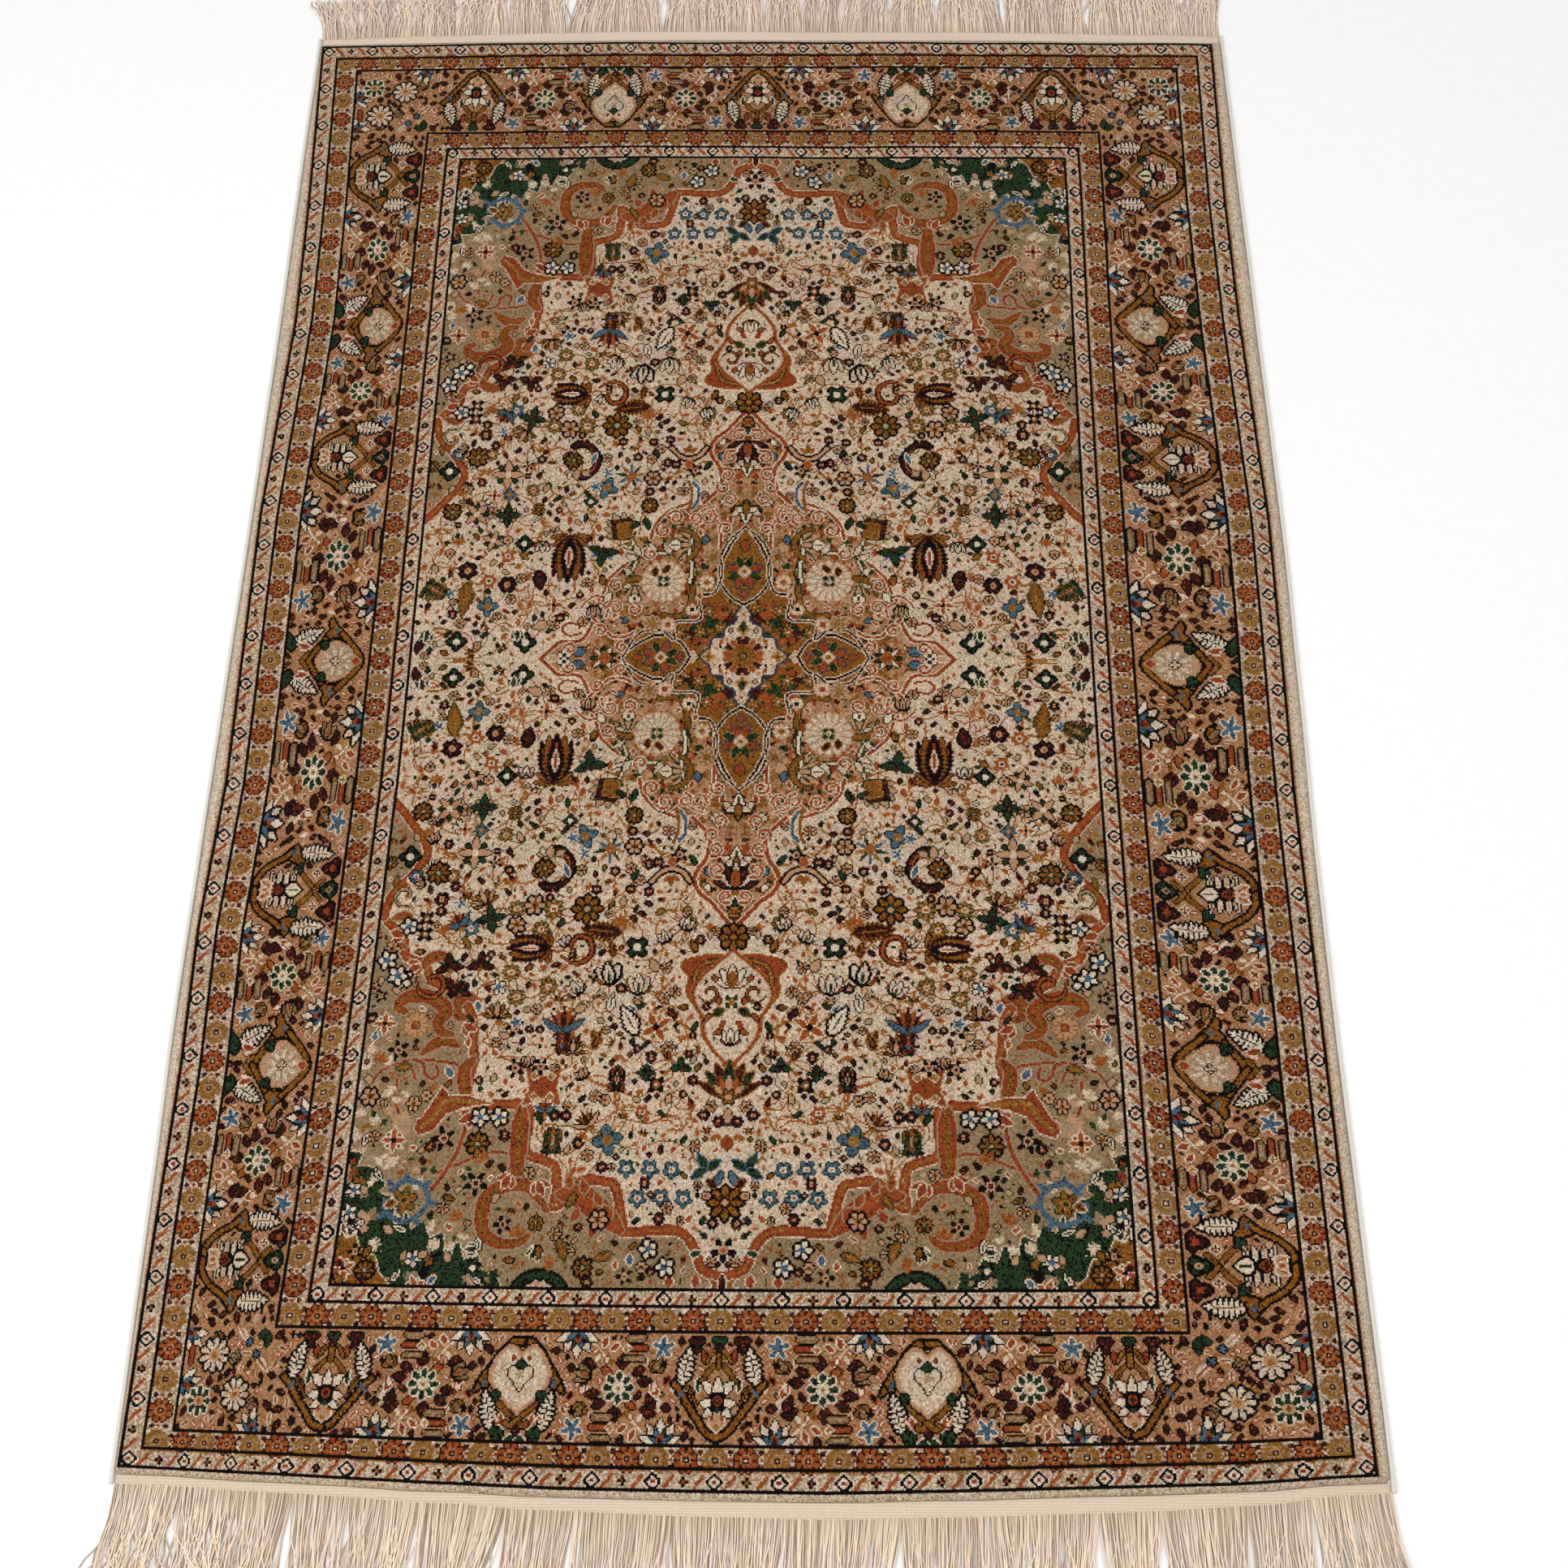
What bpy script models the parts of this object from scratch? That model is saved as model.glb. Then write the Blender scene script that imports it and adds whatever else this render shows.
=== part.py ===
"""A hand-knotted rug with a medallion design, lying flat: pile, kilim ends, overcast sides and fringes.

Metres, +Z up, +Y from the near end to the far end. The origin is under the middle of the whole rug,
on the floor. Lengthwise places are measured from the middle of the pile, before the rug is centred.
"""

import math
import random
from collections import namedtuple

import bmesh
import bpy
from mathutils import Matrix, Vector

GAP = 0.0003                # between neighbouring solids

# The knotted pile, out to the thin guard line that frames the design
DESIGN_LENGTH = 1.740
HALF_LENGTH = DESIGN_LENGTH / 2
PILE_THICKNESS = 0.0060
SHOULDER_HEIGHT = 0.0042    # where the pile's rounded edge begins
SHOULDER_WIDTH = 0.0030
NEAR_MARGIN = 0.0055        # plain pile past the guard line
FAR_MARGIN = 0.0075
RIPPLE = 0.0008             # rise and fall of the pile's surface
RIPPLE_LENGTH = 0.42
RIPPLE_SLANT = 0.55

# The overcast side cord
CORD_RADIUS = 0.0024

# The flat-woven ends
KILIM_THICKNESS = 0.0024

# The fringe: locks of warp yarn on the floor, rooted in the last wefts
HEADING_WIDTH = 0.0040
FRINGE_LENGTH = 0.070
LOCKS = 120                 # at each end
LOCK_HEIGHT = 0.0022
LOCK_STEPS = 4
LOCK_TAPER = 0.8            # the tip's width over the root's
LENGTH_SPREAD = 0.007
COMB_SWAY = 0.007           # how far neighbouring locks lean together
STRAY_SWAY = 0.0011         # how far one lock strays from its neighbours
SPLAY_REACH = 0.12          # from the corner, where the locks fan outwards

# Where the sides wander: distances of the outer edges from the rug's axis, listed from the far end
SideRow = namedtuple("SideRow", "from_far left right")
SIDE_ROWS = (
    SideRow(0.000, 0.583, 0.589),
    SideRow(0.180, 0.584, 0.590),
    SideRow(0.430, 0.584, 0.592),
    SideRow(0.600, 0.585, 0.594),
    SideRow(0.750, 0.586, 0.595),
    SideRow(0.930, 0.588, 0.593),
    SideRow(1.120, 0.590, 0.590),
    SideRow(1.300, 0.592, 0.590),
    SideRow(1.500, 0.590, 0.592),
    SideRow(1.740, 0.589, 0.594),
)

# Where the ends bow outwards, from left to right: the guard line's bow, and the flat weave's width
EndRow = namedtuple("EndRow", "across near_bow far_bow near_kilim far_kilim")
END_ROWS = (
    EndRow(-0.578, -0.002, -0.002, 0.009, 0.012),
    EndRow(-0.425, 0.005, 0.002, 0.009, 0.014),
    EndRow(-0.300, 0.011, 0.004, 0.010, 0.016),
    EndRow(-0.175, 0.016, 0.006, 0.012, 0.017),
    EndRow(-0.050, 0.018, 0.006, 0.014, 0.017),
    EndRow(0.075, 0.019, 0.005, 0.015, 0.016),
    EndRow(0.200, 0.016, 0.005, 0.015, 0.016),
    EndRow(0.325, 0.012, 0.004, 0.015, 0.016),
    EndRow(0.450, 0.008, 0.002, 0.013, 0.015),
    EndRow(0.543, 0.001, 0.001, 0.010, 0.014),
    EndRow(0.578, -0.001, 0.000, 0.009, 0.013),
)

# How far the corner locks fan outwards at their tips
Splay = namedtuple("Splay", "left right")
SPLAY = {"near": Splay(0.030, 0.026), "far": Splay(0.022, 0.008)}

PILE_COLUMNS = 24
PILE_ROWS = 32

IVORY = (0.55, 0.45, 0.36)
COTTON = (0.74, 0.62, 0.49)
OVERCAST = (0.70, 0.66, 0.60)


def eased(rows, key, field, at):
    """A table's field at a place, gliding from row to row with no corner."""
    for low, high in zip(rows, rows[1:]):
        start, end = getattr(low, key), getattr(high, key)
        if at <= end:
            break
    share = min(1.0, max(0.0, (at - start) / (end - start)))
    share = share * share * (3 - 2 * share)
    return getattr(low, field) * (1 - share) + getattr(high, field) * share


def side_x(side, y):
    """The outer edge's x on the left (-1) or the right (1) at a lengthwise place."""
    field = "left" if side < 0 else "right"
    return side * eased(SIDE_ROWS, "from_far", field, HALF_LENGTH - y)


def pile_side_x(side, y):
    """The pile's own edge, inside the overcast cord."""
    return side_x(side, y) - side * (2 * CORD_RADIUS + GAP)


def pile_end_y(end, x):
    """The end of the pile at the near (-1) or the far (1) end."""
    bow = eased(END_ROWS, "across", "near_bow" if end < 0 else "far_bow", x)
    margin = NEAR_MARGIN if end < 0 else FAR_MARGIN
    return end * (HALF_LENGTH + bow + margin)


def kilim_end_y(end, x):
    """The outer edge of the flat weave, where the fringe's heading begins."""
    width = eased(END_ROWS, "across", "near_kilim" if end < 0 else "far_kilim", x)
    return pile_end_y(end, x) + end * width


def ripple(x, y):
    wave = math.sin((y + RIPPLE_SLANT * x) * math.tau / RIPPLE_LENGTH)
    return RIPPLE * wave * math.sin(x * math.pi / RIPPLE_LENGTH + 1.0)


def with_shoulders(count, length):
    """Shares along one side of the pile: a narrow strip for the rounded edge, even ones, and a strip."""
    edge = SHOULDER_WIDTH / length
    inner = [edge + (1 - 2 * edge) * i / (count - 2) for i in range(count - 1)]
    return [0.0, *inner, 1.0]


def slab(columns, rows, place, height):
    """A closed slab with a flat underside: a grid whose points place and height put where they go."""
    shape = bmesh.new()
    across, along = len(columns) - 1, len(rows) - 1
    bmesh.ops.create_grid(shape, x_segments=across, y_segments=along, size=0.5)
    for vert in shape.verts:
        i = round((vert.co.x + 0.5) * across)
        j = round((vert.co.y + 0.5) * along)
        x, y = place(columns[i], rows[j])
        vert.co = Vector((x, y, height(columns[i], rows[j], x, y)))
    rim = [edge for edge in shape.edges if edge.is_boundary]
    walls = bmesh.ops.extrude_edge_only(shape, edges=rim)["geom"]
    for vert in walls:
        if isinstance(vert, bmesh.types.BMVert):
            vert.co.z = 0.0
    foot = [item for item in walls if isinstance(item, bmesh.types.BMEdge) and item.is_boundary]
    bmesh.ops.contextual_create(shape, geom=foot)
    bmesh.ops.recalc_face_normals(shape, faces=shape.faces)
    return shape


def finished(shape, name, material, collection):
    mesh = bpy.data.meshes.new(name)
    shape.to_mesh(mesh)
    shape.free()
    mesh.materials.append(material)
    obj = bpy.data.objects.new(name, mesh)
    collection.objects.link(obj)
    return obj


def across_pile(u, y):
    """The x at a share of the pile's width."""
    return pile_side_x(-1, y) * (1 - u) + pile_side_x(1, y) * u


def end_columns():
    """The shares across the rug at which the pile's ends and the flat weaves have their corners."""
    return with_shoulders(PILE_COLUMNS, 2 * side_x(1, 0))


def make_pile(material, collection):
    columns = end_columns()
    rows = with_shoulders(PILE_ROWS, DESIGN_LENGTH)

    def place(u, v):
        x = across_pile(u, (v - 0.5) * DESIGN_LENGTH)
        return x, pile_end_y(-1, x) * (1 - v) + pile_end_y(1, x) * v

    def height(u, v, x, y):
        if u in (0.0, 1.0) or v in (0.0, 1.0):
            return SHOULDER_HEIGHT
        return PILE_THICKNESS + ripple(x, y)

    return finished(slab(columns, rows, place, height), "pile", material, collection)


def make_kilim(end, name, material, collection):
    """The flat-woven band between the pile and the fringe."""

    def place(u, v):
        x = across_pile(u, end * HALF_LENGTH)
        return x, (pile_end_y(end, x) + end * GAP) * (1 - v) + kilim_end_y(end, x) * v

    shape = slab(end_columns(), [0.0, 1.0], place, lambda u, v, x, y: KILIM_THICKNESS)
    return finished(shape, name, material, collection)


def make_side_cord(side, name, material, collection):
    """The overcast edge: a cord along the pile and both flat weaves, touching the floor."""
    corner_x = pile_side_x(side, 0)
    ends = [kilim_end_y(end, corner_x) for end in (-1, 1)]
    rows = with_shoulders(PILE_ROWS, DESIGN_LENGTH)
    inner = [
        pile_end_y(-1, corner_x) * (1 - share) + pile_end_y(1, corner_x) * share for share in rows
    ]
    line = bpy.data.curves.new(name, "CURVE")
    line.dimensions = "3D"
    line.bevel_depth = CORD_RADIUS
    line.bevel_resolution = 2
    line.use_fill_caps = True
    spline = line.splines.new("POLY")
    places = [ends[0], *inner, ends[1]]
    spline.points.add(len(places) - 1)
    for point, y in zip(spline.points, places):
        x = side_x(side, max(-HALF_LENGTH, min(HALF_LENGTH, y))) - side * CORD_RADIUS + side * GAP
        point.co = (x, y, CORD_RADIUS, 1.0)
    line.materials.append(material)
    cord = bpy.data.objects.new(name, line)
    collection.objects.link(cord)
    return cord


def lock_sway(end, x, wander):
    """How far a lock's tip lies to the side of its root."""
    comb = COMB_SWAY * math.sin(x * 19.0 + end) + 0.5 * COMB_SWAY * math.sin(x * 41.0 + 2.0 * end)
    splay = SPLAY["near" if end < 0 else "far"]
    to_left = max(0.0, 1 - (x + side_x(1, 0)) / SPLAY_REACH)
    to_right = max(0.0, 1 - (side_x(1, 0) - x) / SPLAY_REACH)
    fan = splay.right * to_right**1.5 - splay.left * to_left**1.5
    inside = 1 - max(to_left, to_right)
    return comb * inside + fan + wander.uniform(-STRAY_SWAY, STRAY_SWAY)


def on_kilim_edge(end, u):
    """A point on the flat weave's outer edge, which is straight between its columns."""
    columns = end_columns()
    for low, high in zip(columns, columns[1:]):
        if u <= high:
            break
    share = (u - low) / (high - low)
    start_x, end_x = across_pile(low, end * HALF_LENGTH), across_pile(high, end * HALF_LENGTH)
    y = kilim_end_y(end, start_x) * (1 - share) + kilim_end_y(end, end_x) * share
    return start_x * (1 - share) + end_x * share, y


def make_fringe(end, name, material, collection):
    """A narrow heading along the flat weave, and locks extruded from every other cell of its outer face."""
    wander = random.Random(7 + end)
    cells = 2 * LOCKS + 1
    shares = [i / cells for i in range(cells + 1)]

    def place(u, v):
        x, y = on_kilim_edge(end, u)
        return x, y + end * (GAP + HEADING_WIDTH * v)

    shape = slab(shares, [0.0, 1.0], place, lambda u, v, x, y: LOCK_HEIGHT)
    shape.faces.ensure_lookup_table()
    outer = [
        face for face in shape.faces
        if face.normal.y * end > 0.9
    ]
    outer.sort(key=lambda face: face.calc_center_median().x)
    for face in outer[1::2]:
        root = face.calc_center_median()
        sway = lock_sway(end, root.x, wander)
        length = FRINGE_LENGTH + wander.uniform(-LENGTH_SPREAD, LENGTH_SPREAD)
        tip = face
        for step in range(1, LOCK_STEPS + 1):
            before, now = (step - 1) / LOCK_STEPS, step / LOCK_STEPS
            made = bmesh.ops.extrude_discrete_faces(shape, faces=[tip])["faces"]
            tip = made[0]
            side_step = sway * (now**1.6 - before**1.6)
            bmesh.ops.translate(shape, verts=tip.verts, vec=(side_step, end * length / LOCK_STEPS, 0.0))
            narrowing = LOCK_TAPER ** (1 / LOCK_STEPS)
            middle = tip.calc_center_median()
            bmesh.ops.scale(
                shape,
                verts=tip.verts,
                vec=(narrowing, 1.0, 1.0),
                space=Matrix.Translation(-middle),
            )
    bmesh.ops.recalc_face_normals(shape, faces=shape.faces)
    return finished(shape, name, material, collection)


def make_material(name, colour, roughness):
    material = bpy.data.materials.new(name)
    material.use_nodes = True
    shader = material.node_tree.nodes["Principled BSDF"]
    shader.inputs["Base Color"].default_value = (*colour, 1.0)
    shader.inputs["Roughness"].default_value = roughness
    shader.inputs["Metallic"].default_value = 0.0
    return material


def centre_on_floor(objects):
    """Puts the origin under the middle of the whole rug."""
    bpy.context.view_layer.update()
    graph = bpy.context.evaluated_depsgraph_get()
    corners = []
    for obj in objects:
        solid = obj.evaluated_get(graph)
        mesh = solid.to_mesh()
        corners += [solid.matrix_world @ vert.co for vert in mesh.vertices]
        solid.to_mesh_clear()
    middle_x = (min(c.x for c in corners) + max(c.x for c in corners)) / 2
    middle_y = (min(c.y for c in corners) + max(c.y for c in corners)) / 2
    for obj in objects:
        obj.location = (-middle_x, -middle_y, 0.0)


def main():
    for obj in list(bpy.data.objects):
        bpy.data.objects.remove(obj)
    rug = bpy.data.collections.new("persian_rug")
    bpy.context.scene.collection.children.link(rug)
    pile = make_material("knotted pile", IVORY, 0.8)
    cotton = make_material("cotton warp and weft", COTTON, 0.9)
    overcast = make_material("overcast yarn", OVERCAST, 0.9)
    objects = [make_pile(pile, rug)]
    for end, word in ((-1, "near"), (1, "far")):
        objects.append(make_kilim(end, f"kilim_{word}", cotton, rug))
        objects.append(make_fringe(end, f"fringe_{word}", cotton, rug))
    for side, word in ((-1, "left"), (1, "right")):
        objects.append(make_side_cord(side, f"side_cord_{word}", overcast, rug))
    centre_on_floor(objects)


main()
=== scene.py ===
import math

import bmesh
import bpy
import numpy as np
from mathutils import Euler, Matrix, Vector


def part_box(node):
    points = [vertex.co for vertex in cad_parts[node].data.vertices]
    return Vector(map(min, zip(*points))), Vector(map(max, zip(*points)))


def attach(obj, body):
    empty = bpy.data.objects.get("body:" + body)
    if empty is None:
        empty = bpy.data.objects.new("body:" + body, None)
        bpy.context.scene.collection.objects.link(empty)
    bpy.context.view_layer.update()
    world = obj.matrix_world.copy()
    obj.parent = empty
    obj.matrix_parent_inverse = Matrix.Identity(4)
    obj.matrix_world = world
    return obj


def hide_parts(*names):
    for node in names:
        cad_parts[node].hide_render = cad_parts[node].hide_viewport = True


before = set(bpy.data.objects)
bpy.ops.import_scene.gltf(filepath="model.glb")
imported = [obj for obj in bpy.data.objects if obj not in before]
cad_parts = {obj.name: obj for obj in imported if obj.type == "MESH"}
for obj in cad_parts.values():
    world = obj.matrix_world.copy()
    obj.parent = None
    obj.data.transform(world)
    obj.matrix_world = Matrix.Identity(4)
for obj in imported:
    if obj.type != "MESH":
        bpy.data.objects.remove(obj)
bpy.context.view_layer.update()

# Lengths are millimetres, because that is how a weaver counts; only mesh places are metres.
mm = 0.001
floorGap = 0.02                   # mm that the underside of the rug stays clear of the floor plane

# The weaver's chart: one number for each knot, counted from the far left corner of the pile.
# Places on it are millimetres from the middle of the design, across and down towards the near end.
knot = 1.6                        # mm from knot to knot, as fine as the photo shows
chartKnots = (740, 1096)          # across and down, the plain margins included
yarnHex = {                       # the dyed yarns, in the order of their numbers on the chart
    "ivory": "#B79F88",
    "beige": "#8F775E",
    "tan": "#725836",
    "salmon": "#956947",
    "rust": "#89441A",
    "maroon": "#33130B",
    "ochre": "#704312",
    "black": "#090402",
    "green": "#20341B",
    "blue": "#435A69",
    "white": "#C8B79F",
    "taupe": "#826D50",
    "brick": "#7C3219",
    "gold": "#865A22",
    "slate": "#252F3A",
    "peach": "#A57D5E",
}
smallMotif = 60                   # knots in the largest motif with a thin black outline
yarnNumber = {name: number for number, name in enumerate(yarnHex)}

guards = {                        # mm from the middle, where each stripe of the border begins
    "field": (385, 689),
    "rosette": (404, 706),
    "main": (431, 730),
    "outerRosette": (533, 832),
    "outerBarber": (560, 852),
    "edge": (580, 870),
}


def blankChart(across, down, mirrored):
    shift = (0, 0) if mirrored else (across / 2, down / 2)
    return {
        "yarn": np.zeros((down, across), np.int64),
        "x": (np.arange(across) + 0.5 - shift[0]) * knot,
        "y": (np.arange(down) + 0.5 - shift[1]) * knot,
    }


def around(chart, x, y, reach, turn=0.0):
    # the knots within reach of a place, and how far each lies along and across a direction
    columns = slice(*np.searchsorted(chart["x"], (x - reach, x + reach)))
    rows = slice(*np.searchsorted(chart["y"], (y - reach, y + reach)))
    right = chart["x"][columns][None, :] - x
    down = chart["y"][rows][:, None] - y
    angle = math.radians(turn)
    along = right * math.cos(angle) + down * math.sin(angle)
    aside = down * math.cos(angle) - right * math.sin(angle)
    return chart["yarn"][rows, columns], along, aside


def toward(x, y, turn, reach):
    # the place that lies reach mm from another one, in a direction
    return x + reach * math.cos(math.radians(turn)), y + reach * math.sin(math.radians(turn))


def grown(shape, knots=1):
    # the shape with a line of knots added all round
    for _ in range(knots):
        wide = shape.copy()
        wide[1:] |= shape[:-1]
        wide[:-1] |= shape[1:]
        wide[:, 1:] |= shape[:, :-1]
        wide[:, :-1] |= shape[:, 1:]
        shape = wide
    return shape


def knit(view, shape, yarn, edge=None):
    # a motif of one yarn; black outlines are two knots wide round all but the smallest motifs
    if edge:
        view[grown(shape, 2 if edge == "black" and shape.sum() > smallMotif else 1)] = yarnNumber[edge]
    view[shape] = yarnNumber[yarn]


def smoothLine(points, steps=7):
    # a flowing line through given places
    held = [points[0], *points, points[-1]]
    line = []
    for a, b, c, d in zip(held, held[1:], held[2:], held[3:]):
        for step in range(steps):
            t = step / steps
            line.append(tuple(
                0.5 * (2 * b[k] + (c[k] - a[k]) * t + (2 * a[k] - 5 * b[k] + 4 * c[k] - d[k]) * t**2
                       + (3 * b[k] - a[k] - 3 * c[k] + d[k]) * t**3)
                for k in (0, 1)))
    return [*line, tuple(points[-1])]


def insideOf(right, down, points):
    # which knots a closed outline holds
    inside = np.zeros(np.broadcast(right, down).shape, bool)
    for (ax, ay), (bx, by) in zip(points, [*points[1:], points[0]]):
        if ay != by:
            inside ^= ((ay > down) != (by > down)) & (right < ax + (bx - ax) * (down - ay) / (by - ay))
    return inside


def alongLine(right, down, line):
    # each knot's distance from a line, and the share of the line's length at the nearest place
    nearest = np.full(np.broadcast(right, down).shape, 1e9)
    share = np.zeros_like(nearest)
    for number, ((ax, ay), (bx, by)) in enumerate(zip(line, line[1:])):
        length = (bx - ax) ** 2 + (by - ay) ** 2 or 1e-9
        t = np.clip(((right - ax) * (bx - ax) + (down - ay) * (by - ay)) / length, 0, 1)
        away = np.hypot(right - ax - t * (bx - ax), down - ay - t * (by - ay))
        closer = away < nearest
        nearest[closer] = away[closer]
        share[closer] = ((number + t) / (len(line) - 1))[closer]
    return nearest, share


def windowOf(chart, points, reach):
    xs, ys = zip(*points)
    x, y = (min(xs) + max(xs)) / 2, (min(ys) + max(ys)) / 2
    span = max(max(xs) - min(xs), max(ys) - min(ys)) / 2 + reach
    view, right, down = around(chart, x, y, span)
    return view, right + x, down + y


def area(chart, points, yarn, layers=(), smooth=False):
    # a closed field of one yarn, with lines of knots round it, named from the inside out
    outline = smoothLine([*points, points[0]]) if smooth else points
    view, right, down = windowOf(chart, outline, 4 + knot * len(layers))
    shape = insideOf(right, down, outline)
    for number in range(len(layers), 0, -1):
        view[grown(shape, number)] = yarnNumber[layers[number - 1]]
    view[shape] = yarnNumber[yarn]


def stroke(chart, points, yarn, width=1.7, edge=None, heart=None, tapered=False, smooth=True):
    # a vine, stem or arabesque band along a line
    line = smoothLine(points) if smooth else points
    view, right, down = windowOf(chart, line, width + 5)
    away, share = alongLine(right, down, line)
    half = width / 2 * (np.sin(math.pi * (0.12 + 0.76 * share)) if tapered else 1.0)
    knit(view, away < half, yarn, edge)
    if heart:
        knit(view, away < 0.36 * half, heart)


def dapple(chart, outline, yarns, number, size, seed):
    # toothed patches of several yarns, thrown over an area
    seeded = np.random.default_rng(seed)
    xs, ys = zip(*outline)
    for _ in range(number):
        x, y = seeded.uniform(min(xs), max(xs)), seeded.uniform(min(ys), max(ys))
        if insideOf(np.array([[x]]), np.array([[y]]), outline)[0, 0]:
            leaf(chart, x, y, size * seeded.uniform(0.6, 1.3), seeded.choice((-120, -60, -30, 20, 60, 150)),
                 seeded.uniform(0.4, 0.8), seeded.choice(yarns), bend=seeded.uniform(-0.3, 0.3), teeth=0.35)


def repeat(chart, draw, places, *settings):
    # the same motif at several places: each is x, y, size and the way it points
    for place in places:
        draw(chart, *place, *settings)


# The weaver's small motifs. Each takes a place, its size in mm and the way it points, in degrees.
def bloom(chart, x, y, size, turn=0, petals=6, yarn="peach", edge=None, eye=None, core=None, deep=0.16):
    view, along, aside = around(chart, x, y, size + 4, turn)
    radius = np.hypot(along, aside)
    wave = np.cos(petals * np.arctan2(aside, along))
    petal = radius < size * (1 - deep + deep * wave)
    knit(view, petal, yarn, edge)
    if edge:
        view[petal & (wave < -0.62) & (radius > 0.34 * size)] = yarnNumber[edge]
    if eye:
        knit(view, radius < 0.38 * size, eye)
    if core:
        knit(view, radius < 0.19 * size, core)


def leaf(chart, x, y, size, turn=0, width=0.4, yarn="green", edge=None, vein=None, bend=0.0, teeth=0.0):
    # a leaf from its stalk to its tip; width and bend are shares of its length
    view, along, aside = around(chart, x, y, size * (1 + abs(bend)) + 4, turn)
    share = np.clip(along / size, 0, 1)
    half = 0.5 * width * size * np.sin(math.pi * share**0.8)
    if teeth:
        half = half * (1 + teeth * (2 * (along / (3 * knot) % 1) - 1))
    offset = np.abs(aside - bend * size * share**2)
    blade = (offset < half) & (along > 0) & (along < size)
    knit(view, blade, yarn, edge)
    if teeth >= 0.5:
        view[blade & (along / (3 * knot) % 1 < 0.34) & (offset > 1.2 * knot)] = yarnNumber[edge]
    if vein:
        knit(view, (offset < 0.55 * knot) & (share > 0.2) & (share < 0.8), vein)


def fan(chart, x, y, size, turn=0, petals=5, spread=130, yarns=("rust", "gold"), edge=None, width=0.34):
    # petals from one root, the outer ones first
    order = sorted(range(petals), key=lambda k: -abs(k - (petals - 1) / 2))
    for k in order:
        angle = (k / (petals - 1) - 0.5) * spread
        reach = size * (1 - 0.25 * abs(angle) / spread)
        leaf(chart, x, y, reach, turn + angle, width, yarns[k % len(yarns)], edge)


def bud(chart, x, y, size, turn=0, yarn="rust", calyx="green", edge=None):
    for side in (-42, 42):
        leaf(chart, x, y, 0.55 * size, turn + side, 0.5, calyx)
    leaf(chart, *toward(x, y, turn, 0.2 * size), size, turn, 0.55, yarn, edge)


def cross(chart, x, y, size, turn=0, yarn="peach", edge="black", between="green", eye="white"):
    # four arms, with petals of another yarn between them
    if between:
        for arm in range(4):
            leaf(chart, x, y, 0.82 * size, turn + 45 + 90 * arm, 0.5, between, edge)
    for arm in range(4):
        leaf(chart, x, y, size, turn + 90 * arm, 0.42, yarn, edge)
    view, along, aside = around(chart, x, y, 0.3 * size + 3)
    knit(view, np.hypot(along, aside) < 0.2 * size, eye)


def tulip(chart, x, y, size, turn=0, yarn="white", edge="black", heart="green", side="rust"):
    for lean in (-62, 62):
        leaf(chart, x, y, 0.7 * size, turn + lean, 0.36, side, edge)
    for lean in (-32, 32, 0):
        leaf(chart, x, y, size, turn + lean, 0.42, yarn, edge)
    leaf(chart, x, y, 0.6 * size, turn, 0.3, heart)


def trefoil(chart, x, y, size, turn=0, yarn="green", between="blue", tip="maroon"):
    for lean in (-60, 60):
        leaf(chart, x, y, 0.9 * size, turn + lean, 0.3, between)
    for lean in (-100, 100, 0):
        leaf(chart, x, y, size, turn + lean, 0.46, yarn, "black")
    leaf(chart, x, y, 0.5 * size, turn + 180, 0.6, tip)


def wings(chart, x, y, size, turn=0, yarn="peach", edge="black", crest="rust", spray="ochre"):
    # two outlined leaves spread like wings under a crest, over a fan
    fan(chart, x, y, 0.75 * size, turn + 180, 3, 110, (crest, "gold"))
    fan(chart, x, y, 1.25 * size, turn, 7, 110, (spray, "maroon"), width=0.24)
    for lean in (-1, 1):
        leaf(chart, x, y, 1.1 * size, turn + 80 * lean, 0.26, yarn, edge, bend=-0.35 * lean)


def curl(chart, x, y, size, turn=0, yarn="maroon", inner="rust", flip=1, edge=None, thin=False):
    # a leaf that rolls into a spiral
    rolled = ((1.0, -30), (0.9, 30), (0.85, 90), (0.75, 150), (0.6, 210), (0.4, 280), (0.2, 350))
    line = [toward(x, y, turn + flip * lean, size * reach) for reach, lean in rolled]
    stroke(chart, line, yarn, 2.4 if thin else 0.42 * size, edge, inner, tapered=not thin)


def spark(chart, x, y, size, turn=0, yarn="blue", eye="white"):
    # a small flower of five pointed petals, ringed with pale knots
    view, along, aside = around(chart, x, y, size + 4, turn)
    radius = np.hypot(along, aside)
    knit(view, radius < size * (0.66 + 0.34 * np.cos(5 * np.arctan2(aside, along))), yarn, eye)


def sprig(chart, x, y, size, turn=0, stem="gold", yarn="rust"):
    stroke(chart, [(x, y), toward(x, y, turn, size)], stem, smooth=False)
    for share, lean in ((0.35, 45), (0.6, -45), (0.95, 0)):
        leaf(chart, *toward(x, y, turn, share * size), 0.4 * size, turn + lean, 0.55, yarn)


def palmette(chart, x, y, size, turn=0, yarns=("maroon", "ochre"), edge="black", heart="ivory",
        core="brick"):
    # a tall flower: toothed petals clasping a pale heart on a footed base
    for lean in (-90, 90, -62, 62):
        leaf(chart, x, y, 0.4 * size, turn + lean, 0.34, yarns[1], edge)
    for lean in (-34, 34, -17, 17, 0):
        reach = size * (0.86 + 0.14 * math.cos(math.radians(2.6 * lean)))
        leaf(chart, x, y, reach, turn + lean, 0.27, yarns[abs(lean) % 34 > 0], edge, core, teeth=0.25,
            bend=-0.008 * lean)
    leaf(chart, *toward(x, y, turn, 0.2 * size), 0.5 * size, turn, 0.3, heart, edge, core)


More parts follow.
